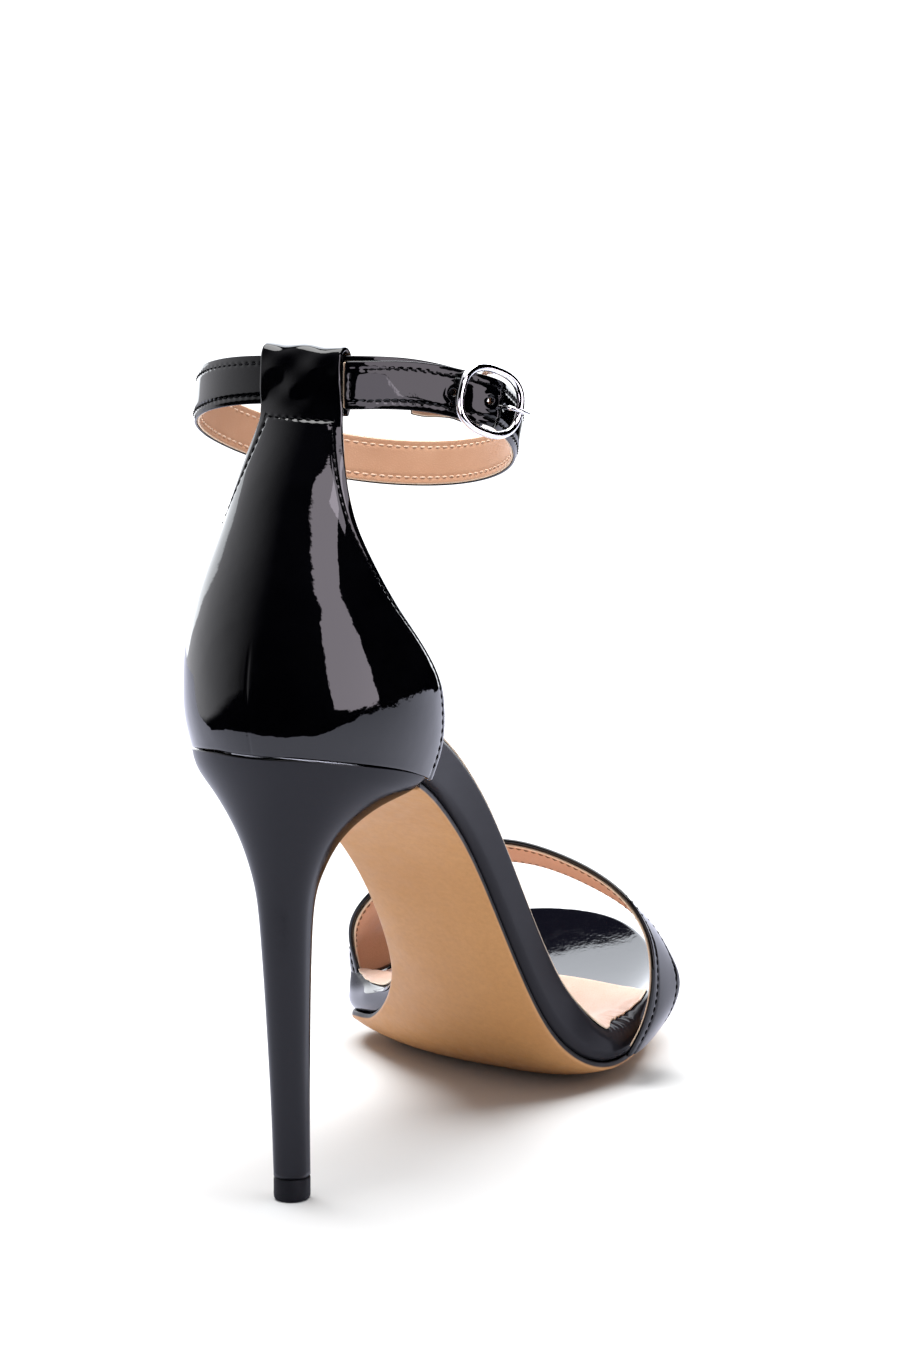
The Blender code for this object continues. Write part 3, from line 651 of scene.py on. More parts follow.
def lining_leather(name, dark, light):
    nodes = Nodes(name, IOR=1.4, Sheen_Weight=0.08, Sheen_Roughness=0.5)
    colour = nodes.mix(nodes.uneven(70, 0.0, 1.0), dark, light)
    pores = nodes.spread(nodes.cells(1500), 0.0, 0.12, 0.35, 0.0)
    colour = nodes.mix(pores, colour, (0.5, 0.26, 0.14))
    cut_edge = nodes.spread(nodes.attribute("rim"), 0.3, 1.0, 0.0, 0.8)
    nodes.link("Base Color", nodes.mix(cut_edge, colour, (0.86, 0.70, 0.53)))
    nodes.link("Roughness", nodes.uneven(300, 0.46, 0.6))
    slow = nodes.bump(nodes.noise(180, 2), 0.0002, 0.35)
    nodes.link("Normal", nodes.bump(nodes.cells(1500), 0.00006, 0.6, slow))
    return nodes.material


def polished_silver():
    nodes = Nodes("polished_silver", Metallic=1.0)
    nodes.link("Base Color", nodes.mix(nodes.noise(200, 2), (0.78, 0.78, 0.79), (0.88, 0.88, 0.885)))
    nodes.link("Roughness", nodes.uneven(600, 0.04, 0.1))
    nodes.link("Normal", nodes.bump(nodes.noise(900, 2), 0.00002, 0.3))
    return nodes.material


def thread(name, dark, light, rough):
    nodes = Nodes(name, Roughness=rough, Specular_IOR_Level=0.08)
    nodes.link("Base Color", nodes.mix(nodes.noise(2500, 2), dark, light))
    nodes.link("Normal", nodes.bump(nodes.noise(5000, 2), 0.00003, 0.5))
    return nodes.material


PATENT = patent_leather("patent_leather", 1.0, 0.55)
STRAP_PATENT = patent_leather("strap_patent", 0.75, 0.25)
HEEL_BLACK = satin_black("heel_black")
WRAP_BLACK = satin_black("platform_black")
RUBBER = tip_rubber()
TAN = sole_leather()
LINING = lining_leather("lining_leather", (0.50, 0.27, 0.163), (0.56, 0.322, 0.205))
# The toe strap's lining is the same leather as the other lining, painted lighter to make up for the shade
# inside the toe strap.
TOE_LINING_PAINTED_LIGHTER = lining_leather("toe_lining_painted_lighter", (0.68, 0.36, 0.205), (0.76, 0.43, 0.27))
SOCK = lining_leather("sock_leather", (0.55, 0.385, 0.31), (0.62, 0.45, 0.37))
SILVER = polished_silver()
BLACK_THREAD = thread("black_thread", (0.0015, 0.0015, 0.002), (0.004, 0.004, 0.005), 0.5)
BROWN_THREAD = thread("brown_thread", (0.16, 0.09, 0.06), (0.24, 0.14, 0.09), 0.6)
PALE_THREAD = thread("pale_thread", (0.72, 0.50, 0.36), (0.86, 0.68, 0.54), 0.6)

CORNER_TURNS = np.linspace(0, math.pi / 2, 9)[1:]
CORNER_MOST = 0.45  # how much of a ring's width or height one of its corners may take
RISE_POINTS = 4


def last_ring(along, inset, low, high, corner, columns):
    """A closed ring across the last: underside, outer side, top and inner side, with round corners."""
    inner, outer = side_of(along, -1, inset), side_of(along, 1, inset)
    corner = min(corner, CORNER_MOST * (outer - inner), CORNER_MOST * (high - low))
    left, right, bottom, top = inner + corner, outer - corner, low + corner, high - corner
    flat = np.linspace(left, right, columns)
    away, back = corner * np.sin(CORNER_TURNS), corner * np.cos(CORNER_TURNS)
    rise = np.linspace(bottom, top, RISE_POINTS + 2)[1:-1]
    across = [flat, right + away, np.full(RISE_POINTS, outer), right + away[::-1], flat[::-1]]
    across += [left - away, np.full(RISE_POINTS, inner), left - away[::-1]]
    over = [np.full(columns, low), bottom - back, rise, top + back[::-1], np.full(columns, high)]
    over += [top + back, rise[::-1], bottom - back[::-1]]
    return np.concatenate(across), np.concatenate(over)


def beside(places, forward):
    """1 in the full part of a stretch of the shoe, 0 outside it: it starts, is full, ends and is gone."""
    start, full, end, gone = places
    return smooth(start, full, forward) * (1 - smooth(end, gone, forward))


PLEATS = table(
    "forward depth width",
    (139.5, 0.25, 1.3), (142.4, 0.45, 1.0), (144.9, 0.35, 0.9), (147.6, 0.55, 1.1), (150.4, 0.4, 0.9),
    (153.2, 0.6, 1.2), (156.4, 0.35, 1.0), (159.4, 0.5, 1.2), (163.0, 0.25, 1.4),
)
PLEAT_GAIN = 1.5
PLEAT_IN = 3.0 * MM  # from the platform's edge to where its pleats are deepest
PLEAT_REACH = 3.2 * MM
# Beside the ball the platform's edges are rounded off further, and its inner side stands out a little.
ROUND = {-1: mm(98, 112, 130, 153), 1: mm(122, 140, 152, 172)}
ROUND_REACH = {-1: 16 * MM, 1: 6.6 * MM}
ROUND_DEPTH = {-1: 10.3 * MM, 1: 6.6 * MM}
BULGE = mm(126, 142, 158, 176)
BULGE_OUT = {-1: 2.6 * MM, 1: 0.0}
WAIST = mm(96, 112, 130, 143)
WAIST_IN = {-1: 1.4 * MM, 1: 0.0}


def platform_side(along, side):
    forward = ON_LAST["forward"](along)
    out = BULGE_OUT[side] * beside(BULGE, forward) - WAIST_IN[side] * beside(WAIST, forward)
    return side_of(along, side) + side * out


def platform_top(along, across):
    """How high the platform's top lies over the last's underside, with its round edges and its pleats."""
    forward = ON_LAST["forward"](along)
    dips = sum(d * bell(forward - f, w) for f, d, w in zip(*(PLEATS[name] for name in PLEATS)))
    drop = 0.0
    for side in (-1, 1):
        edge = np.maximum(side * (platform_side(along, side) - across), 0)
        near = beside(ROUND[side], forward)
        reach, depth = (blend(PLATFORM_CORNER, most[side], near) for most in (ROUND_REACH, ROUND_DEPTH))
        drop = drop + depth * (1 - np.sqrt(1 - np.clip(1 - edge / reach, 0, 1) ** 2))
        drop = drop + PLEAT_GAIN * dips * bell(edge - PLEAT_IN, PLEAT_REACH)
    return PLATFORM_THICKNESS(forward) - drop


PLATFORM_ROWS = (250, 40)  # between the ends, and round each end
PLATFORM_UNDER_COLUMNS = 26
PLATFORM_TOP_COLUMNS = 75
PLATFORM_SIDE_POINTS = 5
TOP_CROWDING = 0.8  # below 1 it crowds the top's columns further towards its edges
# The cover is satin near its outer side and, beside the ball, high on its inner side.
# Each pair of values is where that fades.
SATIN_OUTER = mm(7, 13)
SATIN_OUTER_END = mm(168, 180)
SATIN_INNER = mm(10, 16)
SATIN_INNER_LOW = np.array((0.25, 0.55))  # shares of the platform's thickness
SATIN_INNER_STRETCH = mm(98, 112, 152, 166)


def make_platform():
    """The wrapped platform; its patent gathers into small pleats where it turns in beside the toe strap."""
    rings, gloss = [], []
    spread = np.sin(np.linspace(-math.pi / 2, math.pi / 2, PLATFORM_TOP_COLUMNS))
    spread = np.sign(spread) * np.abs(spread) ** TOP_CROWDING
    part_way = np.linspace(0, 1, PLATFORM_SIDE_POINTS + 2)[1:-1]
    for along in places_along(0, LAST_LENGTH, True, True, *PLATFORM_ROWS):
        forward = ON_LAST["forward"](along)
        high = float(PLATFORM_THICKNESS(forward))
        inner, outer = float(platform_side(along, -1)), float(platform_side(along, 1))
        corner = min(PLATFORM_CORNER, CORNER_MOST * (outer - inner))
        foot, reach = corner * (1 - np.cos(CORNER_TURNS)), corner * np.sin(CORNER_TURNS)
        flat = np.linspace(inner + corner, outer - corner, PLATFORM_UNDER_COLUMNS)
        top = (inner + outer) / 2 + (outer - inner) / 2 * spread
        over_top = platform_top(along, top)
        across = [flat, outer - corner + reach, np.full(PLATFORM_SIDE_POINTS, outer), top[::-1]]
        across += [np.full(PLATFORM_SIDE_POINTS, inner), inner + corner - reach[::-1]]
        rise = [blend(corner, over_top[end], part_way) for end in (-1, 0)]
        over = [np.zeros(len(flat)), foot, rise[0], over_top[::-1], rise[1][::-1], foot[::-1]]
        across, over = np.concatenate(across), np.concatenate(over)
        rings.append(last_point(along, across, over))
        outer_satin = (1 - smooth(*SATIN_OUTER, outer - across)) * (1 - smooth(*SATIN_OUTER_END, forward))
        upper = smooth(*(SATIN_INNER_LOW * high), over) * beside(SATIN_INNER_STRETCH, forward)
        inner_satin = upper * (1 - smooth(*SATIN_INNER, across - inner))
        gloss.append(1 - np.maximum(outer_satin, inner_satin))
    gloss = np.append(np.concatenate(gloss), (1, 1))
    loft("platform_cover", rings, WRAP_BLACK, "platform", {"gloss": gloss})


SOLE_ROWS = (260, 40)
SOLE_COLUMNS = 30
SOLE_LIP = 2.6 * MM  # how far the sole stands out at its inner side
SOLE_LIP_STRETCH = mm(142, 153, 166, 180)
INK_EDGE = mm(0.35, 0.75)  # over the tread; the ink fades between these


def make_outsole():
    """The leather sole: tan underneath, inked black round its edge."""
    rings, ink = [], []
    tread = -SEAM - SOLE_THICKNESS
    for along in places_along(float(along_at(SOLE_BACK)), LAST_LENGTH - SOLE_INSET, False, True, *SOLE_ROWS):
        across, over = last_ring(along, SOLE_INSET, tread, -SEAM, SOLE_CORNER, SOLE_COLUMNS)
        middle = (across.min() + across.max()) / 2
        lip = SOLE_LIP * beside(SOLE_LIP_STRETCH, ON_LAST["forward"](along))
        inwards = np.clip((middle - across) / (middle - across.min()), 0, 1)
        ring = last_point(along, across - lip * inwards, over)
        ring[:, 2] = np.maximum(ring[:, 2], 0)
        rings.append(ring)
        ink.append(smooth(*(tread + INK_EDGE), over))
    loft("sole", rings, TAN, "outsole", {"ink": np.append(np.concatenate(ink), (1, 1))})


# How far the sock's edge lies inside the platform's: by the strap's feet it leaves pleats bare.
SOCK_EDGES = {
    -1: table(
        "forward inset",
        (0, 1.6), (104, 1.0), (114, 0.4), (144, 0.4), (150, 0.8), (155, 1.8), (160, 3.0), (210, 4.0),
    ),
    1: table(
        "forward inset",
        (0, 1.6), (125, 1.4), (138, 1.2), (141, 1.8), (146, 3.8), (152, 5.0), (160, 4.2), (165, 2.6),
        (169, 1.4), (210, 2.0),
    ),
}
SOCK_ROWS = (220, 34)
SOCK_COLUMNS = 90
SOCK_SLANT = 6.0 * MM  # how much further back the sock's front edge lies at its outer corner
SOCK_SLANT_FROM = np.array((0.62, 0.84)) * LAST_LENGTH
SOCK_NARROW = 8 * MM  # where the platform is narrower than this, the insets shrink
SOCK_LEAST_INSET = 0.05  # as a share
SOCK_THIN = 0.4  # the sock's thickness at its pared edge, as a share
SOCK_PARED = 5 * MM
SOCK_RIPPLE = (11 * MM, 0.05 * MM)


def make_sock():
    """The sock: it drapes over the platform's round edges."""
    along = places_along(SOCK_INSET, float(along_at(SOCK_FRONT)), True, False, *SOCK_ROWS)[:, None]
    share = 0.5 + 0.5 * np.sin(np.linspace(-math.pi / 2, math.pi / 2, SOCK_COLUMNS))[None]
    along = along - SOCK_SLANT * smooth(*SOCK_SLANT_FROM, along) * np.clip(2 * share - 1, 0, 1) ** 2
    forward = ON_LAST["forward"](along)
    width = platform_side(along, 1) - platform_side(along, -1)
    shrink = np.clip(width / SOCK_NARROW, SOCK_LEAST_INSET, 1)
    left, right = (
        platform_side(along, side) - side * shrink * np.interp(forward, edge["forward"], edge["inset"])
        for side, edge in SOCK_EDGES.items()
    )
    across = blend(left, right, share)
    grid = last_point(along, across, platform_top(along, across))
    pared = blend(SOCK_THIN, 1, smooth(0, SOCK_PARED, np.minimum(across - left, right - across)))
    high = (SEAM + SOCK_THICKNESS) * pared + ripple(grid, *SOCK_RIPPLE)
    sheet_piece("sock", grid, SEAM * pared, high, SOCK, "insole")


HEEL_COLUMNS = 96
HEEL_LEVELS = 150
HEEL_GLOSS = 0.42
# The heel tip's rings from the top down: height and size.
TIP_RINGS = (
    (TOP_PIECE_HEIGHT, 0.94), (TOP_PIECE_HEIGHT - 0.25 * MM, 0.99), (TOP_PIECE_HEIGHT - 0.6 * MM, 1.0),
    (0.9 * MM, 1.0), (0.35 * MM, 0.98), (0.1 * MM, 0.94), (0.0, 0.88),
)


def heel_ring(row):
    """One level of the heel: a half ellipse at the back, and a front with fuller corners."""
    back, widest, front, half_width, back_height, front_height = (HEEL[name][row] for name in HEEL)
    turn = full_turn(HEEL_COLUMNS)
    sine, cosine = np.sin(turn), np.cos(turn)
    power = 2 / BREAST_FULLNESS
    at_back = cosine >= 0
    across = half_width * np.where(at_back, sine, np.sign(sine) * np.abs(sine) ** power)
    ahead = (front - widest) * np.abs(cosine) ** power
    forward = widest + np.where(at_back, -(widest - back) * cosine, ahead)
    share = (forward - back) / (front - back)
    height = underside(forward) - GAP if row == 0 else blend(back_height, front_height, share)
    return np.stack([across, forward, height], -1)


def make_heel():
    levels = np.arange(len(HEEL["back"]))
    cage = np.array([heel_ring(row) for row in levels])
    fine = np.linspace(0, levels[-1], HEEL_LEVELS)
    lines = [[natural(levels, axis)(fine) for axis in column.T] for column in cage.transpose(1, 0, 2)]
    rings = np.array(lines).transpose(2, 0, 1)
    shine = np.full(rings.shape[0] * rings.shape[1] + 2, HEEL_GLOSS)
    loft("heel_cover", rings, HEEL_BLACK, "heel", {"gloss": shine})
    foot, middle = rings[-1], rings[-1].mean(0)
    tip = []
    for height, share in TIP_RINGS:
        ring = blend(middle, foot, share)
        ring[:, 2] = height
        tip.append(ring)
    loft("heel_tip", tip, RUBBER, "top_piece")


COUNTER_LEVELS = np.arange(len(COUNTER["back"]))
COUNTER_CURVES = {name: natural(COUNTER_LEVELS, values) for name, values in COUNTER.items()}
COUNTER_TURN = natural(COUNTER_LEVELS, COUNTER_WRAP)


def counter_point(level, share):
    """Points of the counter's outer face: level 0 is its foot, share runs from -1 (inner) to 1 (outer)."""
    level, share = np.broadcast_arrays(np.asarray(level, float), np.asarray(share, float))
    back, back_height, front, front_height, half_width = (COUNTER_CURVES[name](level) for name in COUNTER)
    wrap = COUNTER_TURN(level)
    turn = wrap * np.abs(share)
    forward = back + (front - back) * (1 - np.cos(turn)) / (1 - np.cos(wrap))
    across = np.sign(share) * half_width * np.sin(turn) / np.sin(wrap)
    part = (forward - back) / (front - back)
    rise = (back_height - underside(back)) * (1 - part) + (front_height - underside(front)) * part
    return np.stack([across, forward, underside(forward) + rise], -1)


# The way of the tab's outer face over the strap, from the counter's top, and how far its sides bend in.
TAB_WAY = table(
    "forward height bend half_width",
    (28.4, 191, 2.0, 10.4), (28.9, 193, 1.5, 10.25), (29.25, 196, 0.8, 10.1), (29.3, 199.5, 0.35, 10.0),
    (29.5, 202.6, 0.15, 9.9), (30.2, 205.0, 0.05, 9.85), (31.5, 206.5, 0.0, 9.8), (33.1, 207.0, 0.0, 9.8),
    (35.0, 206.75, 0.0, 9.8), (36.4, 205.5, 0.05, 9.8), (36.9, 203.4, 0.1, 9.85), (36.9, 199.0, 0.15, 9.9),
    (36.4, 194.5, 0.2, 9.95), (35.2, 190.6, 0.3, 9.95),
)


def tab_point(way, share):
    """Points of the tab's outer face: way runs from the counter's top over the strap and down inside it."""
    knots = np.arange(len(TAB_WAY["forward"]))
    forward, height, bend, half_width = (natural(knots, TAB_WAY[name])(way) for name in TAB_WAY)
    way, share = np.broadcast_arrays(np.asarray(way, float), np.asarray(share, float))
    return np.stack([half_width * share, forward + bend * share**2, height + 0 * share], -1)


def clustered(places, step, close_step, reach):
    """Places from the first to the last given one, closer together within reach of those in between."""
    start, end, near = places[0], places[-1], np.asarray(places[1:-1])
    found = [start]
    while found[-1] < end:
        gap = np.min(np.abs(near - found[-1]))
        found.append(found[-1] + close_step + (step - close_step) * smooth(reach, 3 * reach, gap))
    found = np.array(found)
    return start + (found - start) * (end - start) / (found[-1] - start)


# The counter's grid is closer by the tab's stitches, the back seam and the edges' stitches.
COUNTER_ROWS = clustered((0, 9.4, len(COUNTER_LEVELS) - 1), step=0.082, close_step=0.033, reach=0.25)
COUNTER_HALF = clustered((0, 0.0001, 0.93, 1), step=0.0152, close_step=0.0066, reach=0.05)
TAB_ROWS = np.linspace(0, len(TAB_WAY["forward"]) - 1, 90)[1:]
TAB_STITCH_LEVEL = 9.55  # where the row of stitches under the tab runs
EDGE_STITCH_ENDS = (2, 9.5)  # the first row of the grid, and the level of the last
EDGE_ROW_END = mm(-1.0, 0.2)  # from the tab's row; the edges' grooves fade between these
TAB_ROW_MARGIN = 0.6 * MM
PATENT_WALL = 1.2 * MM
# The back seam and the puckers that its thread leaves beside it.
SEAM_TOP = 142 * MM
SEAM_FADE = 8 * MM
SEAM_DEPTH = 0.16 * MM
SEAM_WIDTH = 0.3 * MM
PUCKER_PITCH = 1.3 * MM
PUCKER_BESIDE = 1.0 * MM
PUCKER_WIDTH = 0.8 * MM
PUCKER_DEPTH = 0.05 * MM
# The tab is more rippled than the counter; each ripple has a size and a depth.
TAB_FROM = mm(1, 6)  # over the row of stitches
TAB_RIPPLE = (3.4 * MM, 0.3 * MM)
COUNTER_RIPPLE = (9 * MM, 0.06 * MM)
COUNTER_LINING_ROWS = np.linspace(0.02, 9.9, 90)
COUNTER_LINING_SHARES = np.linspace(-0.965, 0.965, 110)
COUNTER_LINING_FACES = (-2.0 * MM, -1.28 * MM)
COUNTER_LINING_RIPPLE = (7 * MM, 0.05 * MM)


def make_counter():
    """The counter and the tab that its top folds into: patent outside, lining inside, stitched edges."""
    middle = len(COUNTER_HALF) - 1
    shares = np.concatenate([-COUNTER_HALF[:0:-1], COUNTER_HALF])
    below_tab, tab = counter_point(COUNTER_ROWS[:, None], shares), tab_point(TAB_ROWS[:, None], shares)
    grid = np.concatenate([below_tab, tab])
    from_middle = []
    for row in grid:
        inner_half = running_length(row[: middle + 1])
        from_middle.append([*(inner_half - inner_half[-1]), *running_length(row[middle:])[1:]])
    from_middle = np.array(from_middle)
    edge = np.abs(from_middle[:, :1])
    upward = running_length(grid[:, middle])[:, None] + 0 * from_middle
    edge_along = running_length(grid[:, 0])[:, None] + 0 * from_middle
    stitch_row = upward[np.searchsorted(COUNTER_ROWS, TAB_STITCH_LEVEL), 0]
    below = 1 - smooth(*(stitch_row + EDGE_ROW_END), upward)
    high = groove(edge - np.abs(from_middle), edge_along, STITCH_IN) * below
    inside = np.abs(from_middle) < edge - STITCH_IN + TAB_ROW_MARGIN
    high = np.where(inside, np.minimum(high, groove(upward, from_middle, stitch_row)), high)
    below_seam_top = 1 - smooth(SEAM_TOP - SEAM_FADE, SEAM_TOP, grid[..., 2])
    pucker = PUCKER_DEPTH * bell(from_middle + PUCKER_BESIDE, PUCKER_WIDTH) * wave(upward, PUCKER_PITCH)
    high = high - below_seam_top * (SEAM_DEPTH * bell(from_middle, SEAM_WIDTH) + pucker)
    on_tab = smooth(*(stitch_row + TAB_FROM), upward)
    high = high + on_tab * ripple(grid, *TAB_RIPPLE) + (1 - on_tab) * ripple(grid, *COUNTER_RIPPLE)
    sheet_piece("counter_patent", grid, -PATENT_WALL, high, PATENT, "counter")
    normals = grid_normals(grid)
    surface = grid + normals * high[..., None]
    first_row, end_level = EDGE_STITCH_ENDS
    rows = np.arange(first_row, np.searchsorted(COUNTER_ROWS, end_level))
    places = np.arange(middle + 1)
    offsets = [np.interp(edge[i, 0] - STITCH_IN, from_middle[i, middle:], places) for i in rows]
    for side, sign in (("inner", -1), ("outer", 1)):
        columns = middle + sign * np.round(offsets).astype(int)
        line, up = surface[rows, columns], normals[rows, columns]
        stitches(f"counter_stitches_{side}", line, up, BLACK_THREAD, "patent")
    row = np.searchsorted(upward[:, 0], stitch_row)
    keep = np.abs(from_middle[row]) < edge[row, 0] - STITCH_IN
    stitches("tab_stitches", surface[row][keep], normals[row][keep], BLACK_THREAD, "patent")
    inner = counter_point(COUNTER_LINING_ROWS[:, None], COUNTER_LINING_SHARES)
    low, high = COUNTER_LINING_FACES
    sheet_piece("counter_lining", inner, low - ripple(inner, *COUNTER_LINING_RIPPLE), high, LINING)


def strap_foot(side, share, level):
    """A point of the toe strap by the platform's outer (1) or inner (-1) side, bowed out below."""
    foot = 0 if side > 0 else 1
    rear, front = TOE_STRAP_FEET["rear"][foot], TOE_STRAP_FEET["front"][foot]
    along = float(along_at(blend(rear, front, share)))
    thickness = float(PLATFORM_THICKNESS(ON_LAST["forward"](along)))
    point = last_point(along, float(side_of(along, side)), thickness * FOOT_LEVELS[level])
    bow = FOOT_BOWS[side][level] * (1 + FOOT_FLARE[side] * share)
    return point + (side * (2 * GAP + TOE_STRAP_THICKNESS / 2 + bow), 0, 0)


def strap_line(share, count):
    """The toe strap's line from its inner to its outer foot: share 0 is its rear edge, 1 its front edge."""
    forward = blend(TOE_STRAP["rear"], TOE_STRAP["front"], share)
    height = blend(TOE_STRAP["rear_height"], TOE_STRAP["front_height"], share)
    knots = [strap_foot(1, share, level) for level in range(len(FOOT_LEVELS))]
    knots += list(np.stack([TOE_STRAP["across"], forward, height], -1))
    knots += [strap_foot(-1, share, level) for level in range(len(FOOT_LEVELS))[::-1]]
    return resample(knots[::-1], count=count)


TOE_STRAP_STEPS = 320
TOE_STRAP_SHARES = clustered((0, 0.1, 0.9, 1), step=0.032, close_step=0.013, reach=0.05)
TOE_STRAP_RIPPLE = (8 * MM, 0.07 * MM)
TOE_LINING_SHORT = 4  # steps by which the lining is shorter than the patent at each foot
TOE_STITCHES_SHORT = 6


def make_toe_strap():
    grid = np.stack([strap_line(share, TOE_STRAP_STEPS) for share in TOE_STRAP_SHARES])
    along = np.stack([running_length(row) for row in grid])
    across = np.stack([running_length(grid[:, j]) for j in range(TOE_STRAP_STEPS)], 1)
    width = across[-1]
    half = TOE_STRAP_THICKNESS / 2
    split = half - PATENT_SHARE * TOE_STRAP_THICKNESS
    rear_groove = groove(across, along, STITCH_IN)
    relief = rear_groove + groove(width - across, along, STITCH_IN) + ripple(grid, *TOE_STRAP_RIPPLE)
    high = half + relief
    sheet_piece("toe_strap_patent", grid, split + LAYER_GAP, high, STRAP_PATENT, "toe_strap")
    centre = TOE_STRAP_STEPS // 2
    lined = (across[:, centre] > LINING_INSET) & (across[:, centre] < width[centre] - LINING_INSET)
    ends = slice(TOE_LINING_SHORT, -TOE_LINING_SHORT)
    low = -half - rear_groove[lined][:, ends] * LINING_GROOVE
    # The lining leather here is the copy painted lighter to make up for the shade under the strap.
    sheet_piece("toe_strap_lining", grid[lined][:, ends], low, split - LAYER_GAP, TOE_LINING_PAINTED_LIGHTER)
    normals = grid_normals(grid)
    columns = np.arange(TOE_STITCHES_SHORT, TOE_STRAP_STEPS - TOE_STITCHES_SHORT)
    for side, place in (("rear", STITCH_IN + 0 * width), ("front", width - STITCH_IN)):
        rows = np.argmin(np.abs(across - place), axis=0)[columns]
        places, up = grid[rows, columns], normals[rows, columns]
        outside = places + up * high[rows, columns][:, None]
        stitches(f"toe_strap_stitches_{side}", outside, up, BLACK_THREAD, "patent")
        inside = places - up * (half - LINING_STITCH_SINK)
        stitches(f"toe_strap_lining_stitches_{side}", inside, -up, BROWN_THREAD, "lining")


LOOP_MIDDLE = LOOP_BACK + LOOP_HALF_LENGTH


def loop_at(turn):
    """The loop's line this far round from the tab, by way of the outer side."""
    sine, cosine = np.sin(turn), np.cos(turn)
    forward = LOOP_MIDDLE - LOOP_HALF_LENGTH * cosine
    sag = np.maximum(0.0, (1 - cosine) / 2) ** LOOP_SAG
    height = LOOP_HEIGHT - LOOP_DROP * sag + LOOP_ROLL * sine
    return np.stack([LOOP_CENTRE + LOOP_HALF_WIDTH * sine, forward, height], -1)


LOOP_STEPS = 721
LOOP_TURNS = np.linspace(0, 2 * math.pi, LOOP_STEPS)
LOOP_LENGTHS = running_length(loop_at(LOOP_TURNS))
LOOP_LENGTH = LOOP_LENGTHS[-1]
BUCKLE_ALONG = np.interp(BUCKLE_TURN, LOOP_TURNS, LOOP_LENGTHS)


def loop_line(along):
    """The band's middle line this far along the loop, pulled straight between the tab and the buckle."""
    along = np.mod(along, LOOP_LENGTH)
    turn = np.interp(along, LOOP_LENGTHS, LOOP_TURNS)
    share = np.clip((along - PULL_FROM) / (PULL_TO - PULL_FROM), 0, 1)
    inward = np.stack([-np.sin(turn) / LOOP_HALF_WIDTH, np.cos(turn) / LOOP_HALF_LENGTH, 0 * turn], -1)
    raised = RAISE * bell(along - BUCKLE_ALONG, RAISE_REACH)
    lift = np.stack([0 * turn, 0 * turn, raised], -1)
    return loop_at(turn) + unit(inward) * (PULL * np.sin(math.pi * share) ** 2)[..., None] + lift


def loop_frame(along):
    """The loop's place, its run, its outward side and the band's width there."""
    along = np.asarray(along, float)
    step = 0.4 * MM
    place = loop_line(along)
    run = unit(loop_line(along + step) - loop_line(along - step))
    lean = np.minimum(1.0, (place[..., 1] - LOOP_BACK) / LOOP_UPRIGHT)
    lean = LOOP_LEAN * lean * lean * (3 - 2 * lean)
    width = np.stack([0 * lean, np.sin(lean), np.cos(lean)], -1)
    outward = unit(np.cross(run, width))
    return place, run, outward, unit(np.cross(outward, run))


FOLD_TURNS = np.radians(np.arange(-90, 91, 22.5))
ROUTE_POINTS = {"near": 110, "loop": 300, "tail": 220}


def strap_route():
    """The band's line from its folded end to the tail's tip: ahead of the bar, and over the loop."""
    fold = {"ahead": FOLD_RADIUS * np.cos(FOLD_TURNS), "over": BAR_OVER + FOLD_RADIUS * np.sin(FOLD_TURNS)}
    near = [np.concatenate([STRAP_RETURN[name], fold[name], STRAP_OUT[name]]) for name in fold]
    near = resample(np.stack(near, 1), ROUTE_POINTS["near"])
    tail_ahead, tail_over = STRAP_TAIL["ahead"], STRAP_TAIL["over"]
    loop = np.linspace(near[-1, 0], tail_ahead[0] - LOOP_LENGTH, ROUTE_POINTS["loop"])[1:-1]
    tail = np.linspace(tail_ahead[0], tail_ahead[-1], ROUTE_POINTS["tail"])
    over_tail = natural(tail_ahead[::-1], tail_over[::-1])(tail)
    tail = np.stack([tail - LOOP_LENGTH, over_tail], 1)
    return np.concatenate([near, np.stack([loop, 0 * loop], 1), tail])


def buckle_point(ahead, over, up=0.0):
    """A point in the buckle's own flat frame, from the bar's place on the loop."""
    place, run, outward, width = loop_frame(BUCKLE_ALONG)
    return place + run * ahead + outward * over + width * up


HOLE_PULL = (1.0, 2.6)  # how far round a hole the grid is moved, in sizes of its block of cells


def round_hole(grid_along, grid_up, along, radius, half_cells):
    """Moves a grid's places apart round a point of its middle line, and leaves out the block of cells there.

    Gives the moved places and which cells lie in the hole.
    """
    column = int(np.argmin(np.abs(grid_along - along)))
    row = int(np.argmin(np.abs(grid_up)))
    i, j = np.meshgrid(np.arange(len(grid_up)) - row, np.arange(len(grid_along)) - column, indexing="ij")
    square = np.maximum(np.abs(i), np.abs(j)) / half_cells
    across, ahead = grid_up[:, None] + 0 * j, grid_along[None] - along + 0 * i
    reach = np.hypot(across, ahead)
    aim = radius * np.maximum(square, 1e-6) / np.maximum(reach, 1e-9)
    pull = 1 - smooth(*HOLE_PULL, square)
    moved_up, moved_along = blend(across, aim * across, pull), blend(ahead, aim * ahead, pull)
    cells = (np.abs(i[:-1, :-1] + 0.5) < half_cells) & (np.abs(j[:-1, :-1] + 0.5) < half_cells)
    return moved_along + along, moved_up, cells


RETURN_FADE = mm(2, 12)  # from the sewn-back end, where its drop fades out
END_ROW_MARGIN = 0.3 * MM
HOLE_RIM = 1.9 * MM  # a punched hole's raised rim: its radius, width and height
HOLE_RIM_WIDTH = 0.5 * MM
HOLE_RIM_HIGH = 0.2 * MM
STRAP_RIPPLE = (6 * MM, 0.05 * MM)
STRAP_BORDER = 2.4 * MM
STRAP_STITCHES = slice(6, -9)  # the steps of the band that its long rows take up


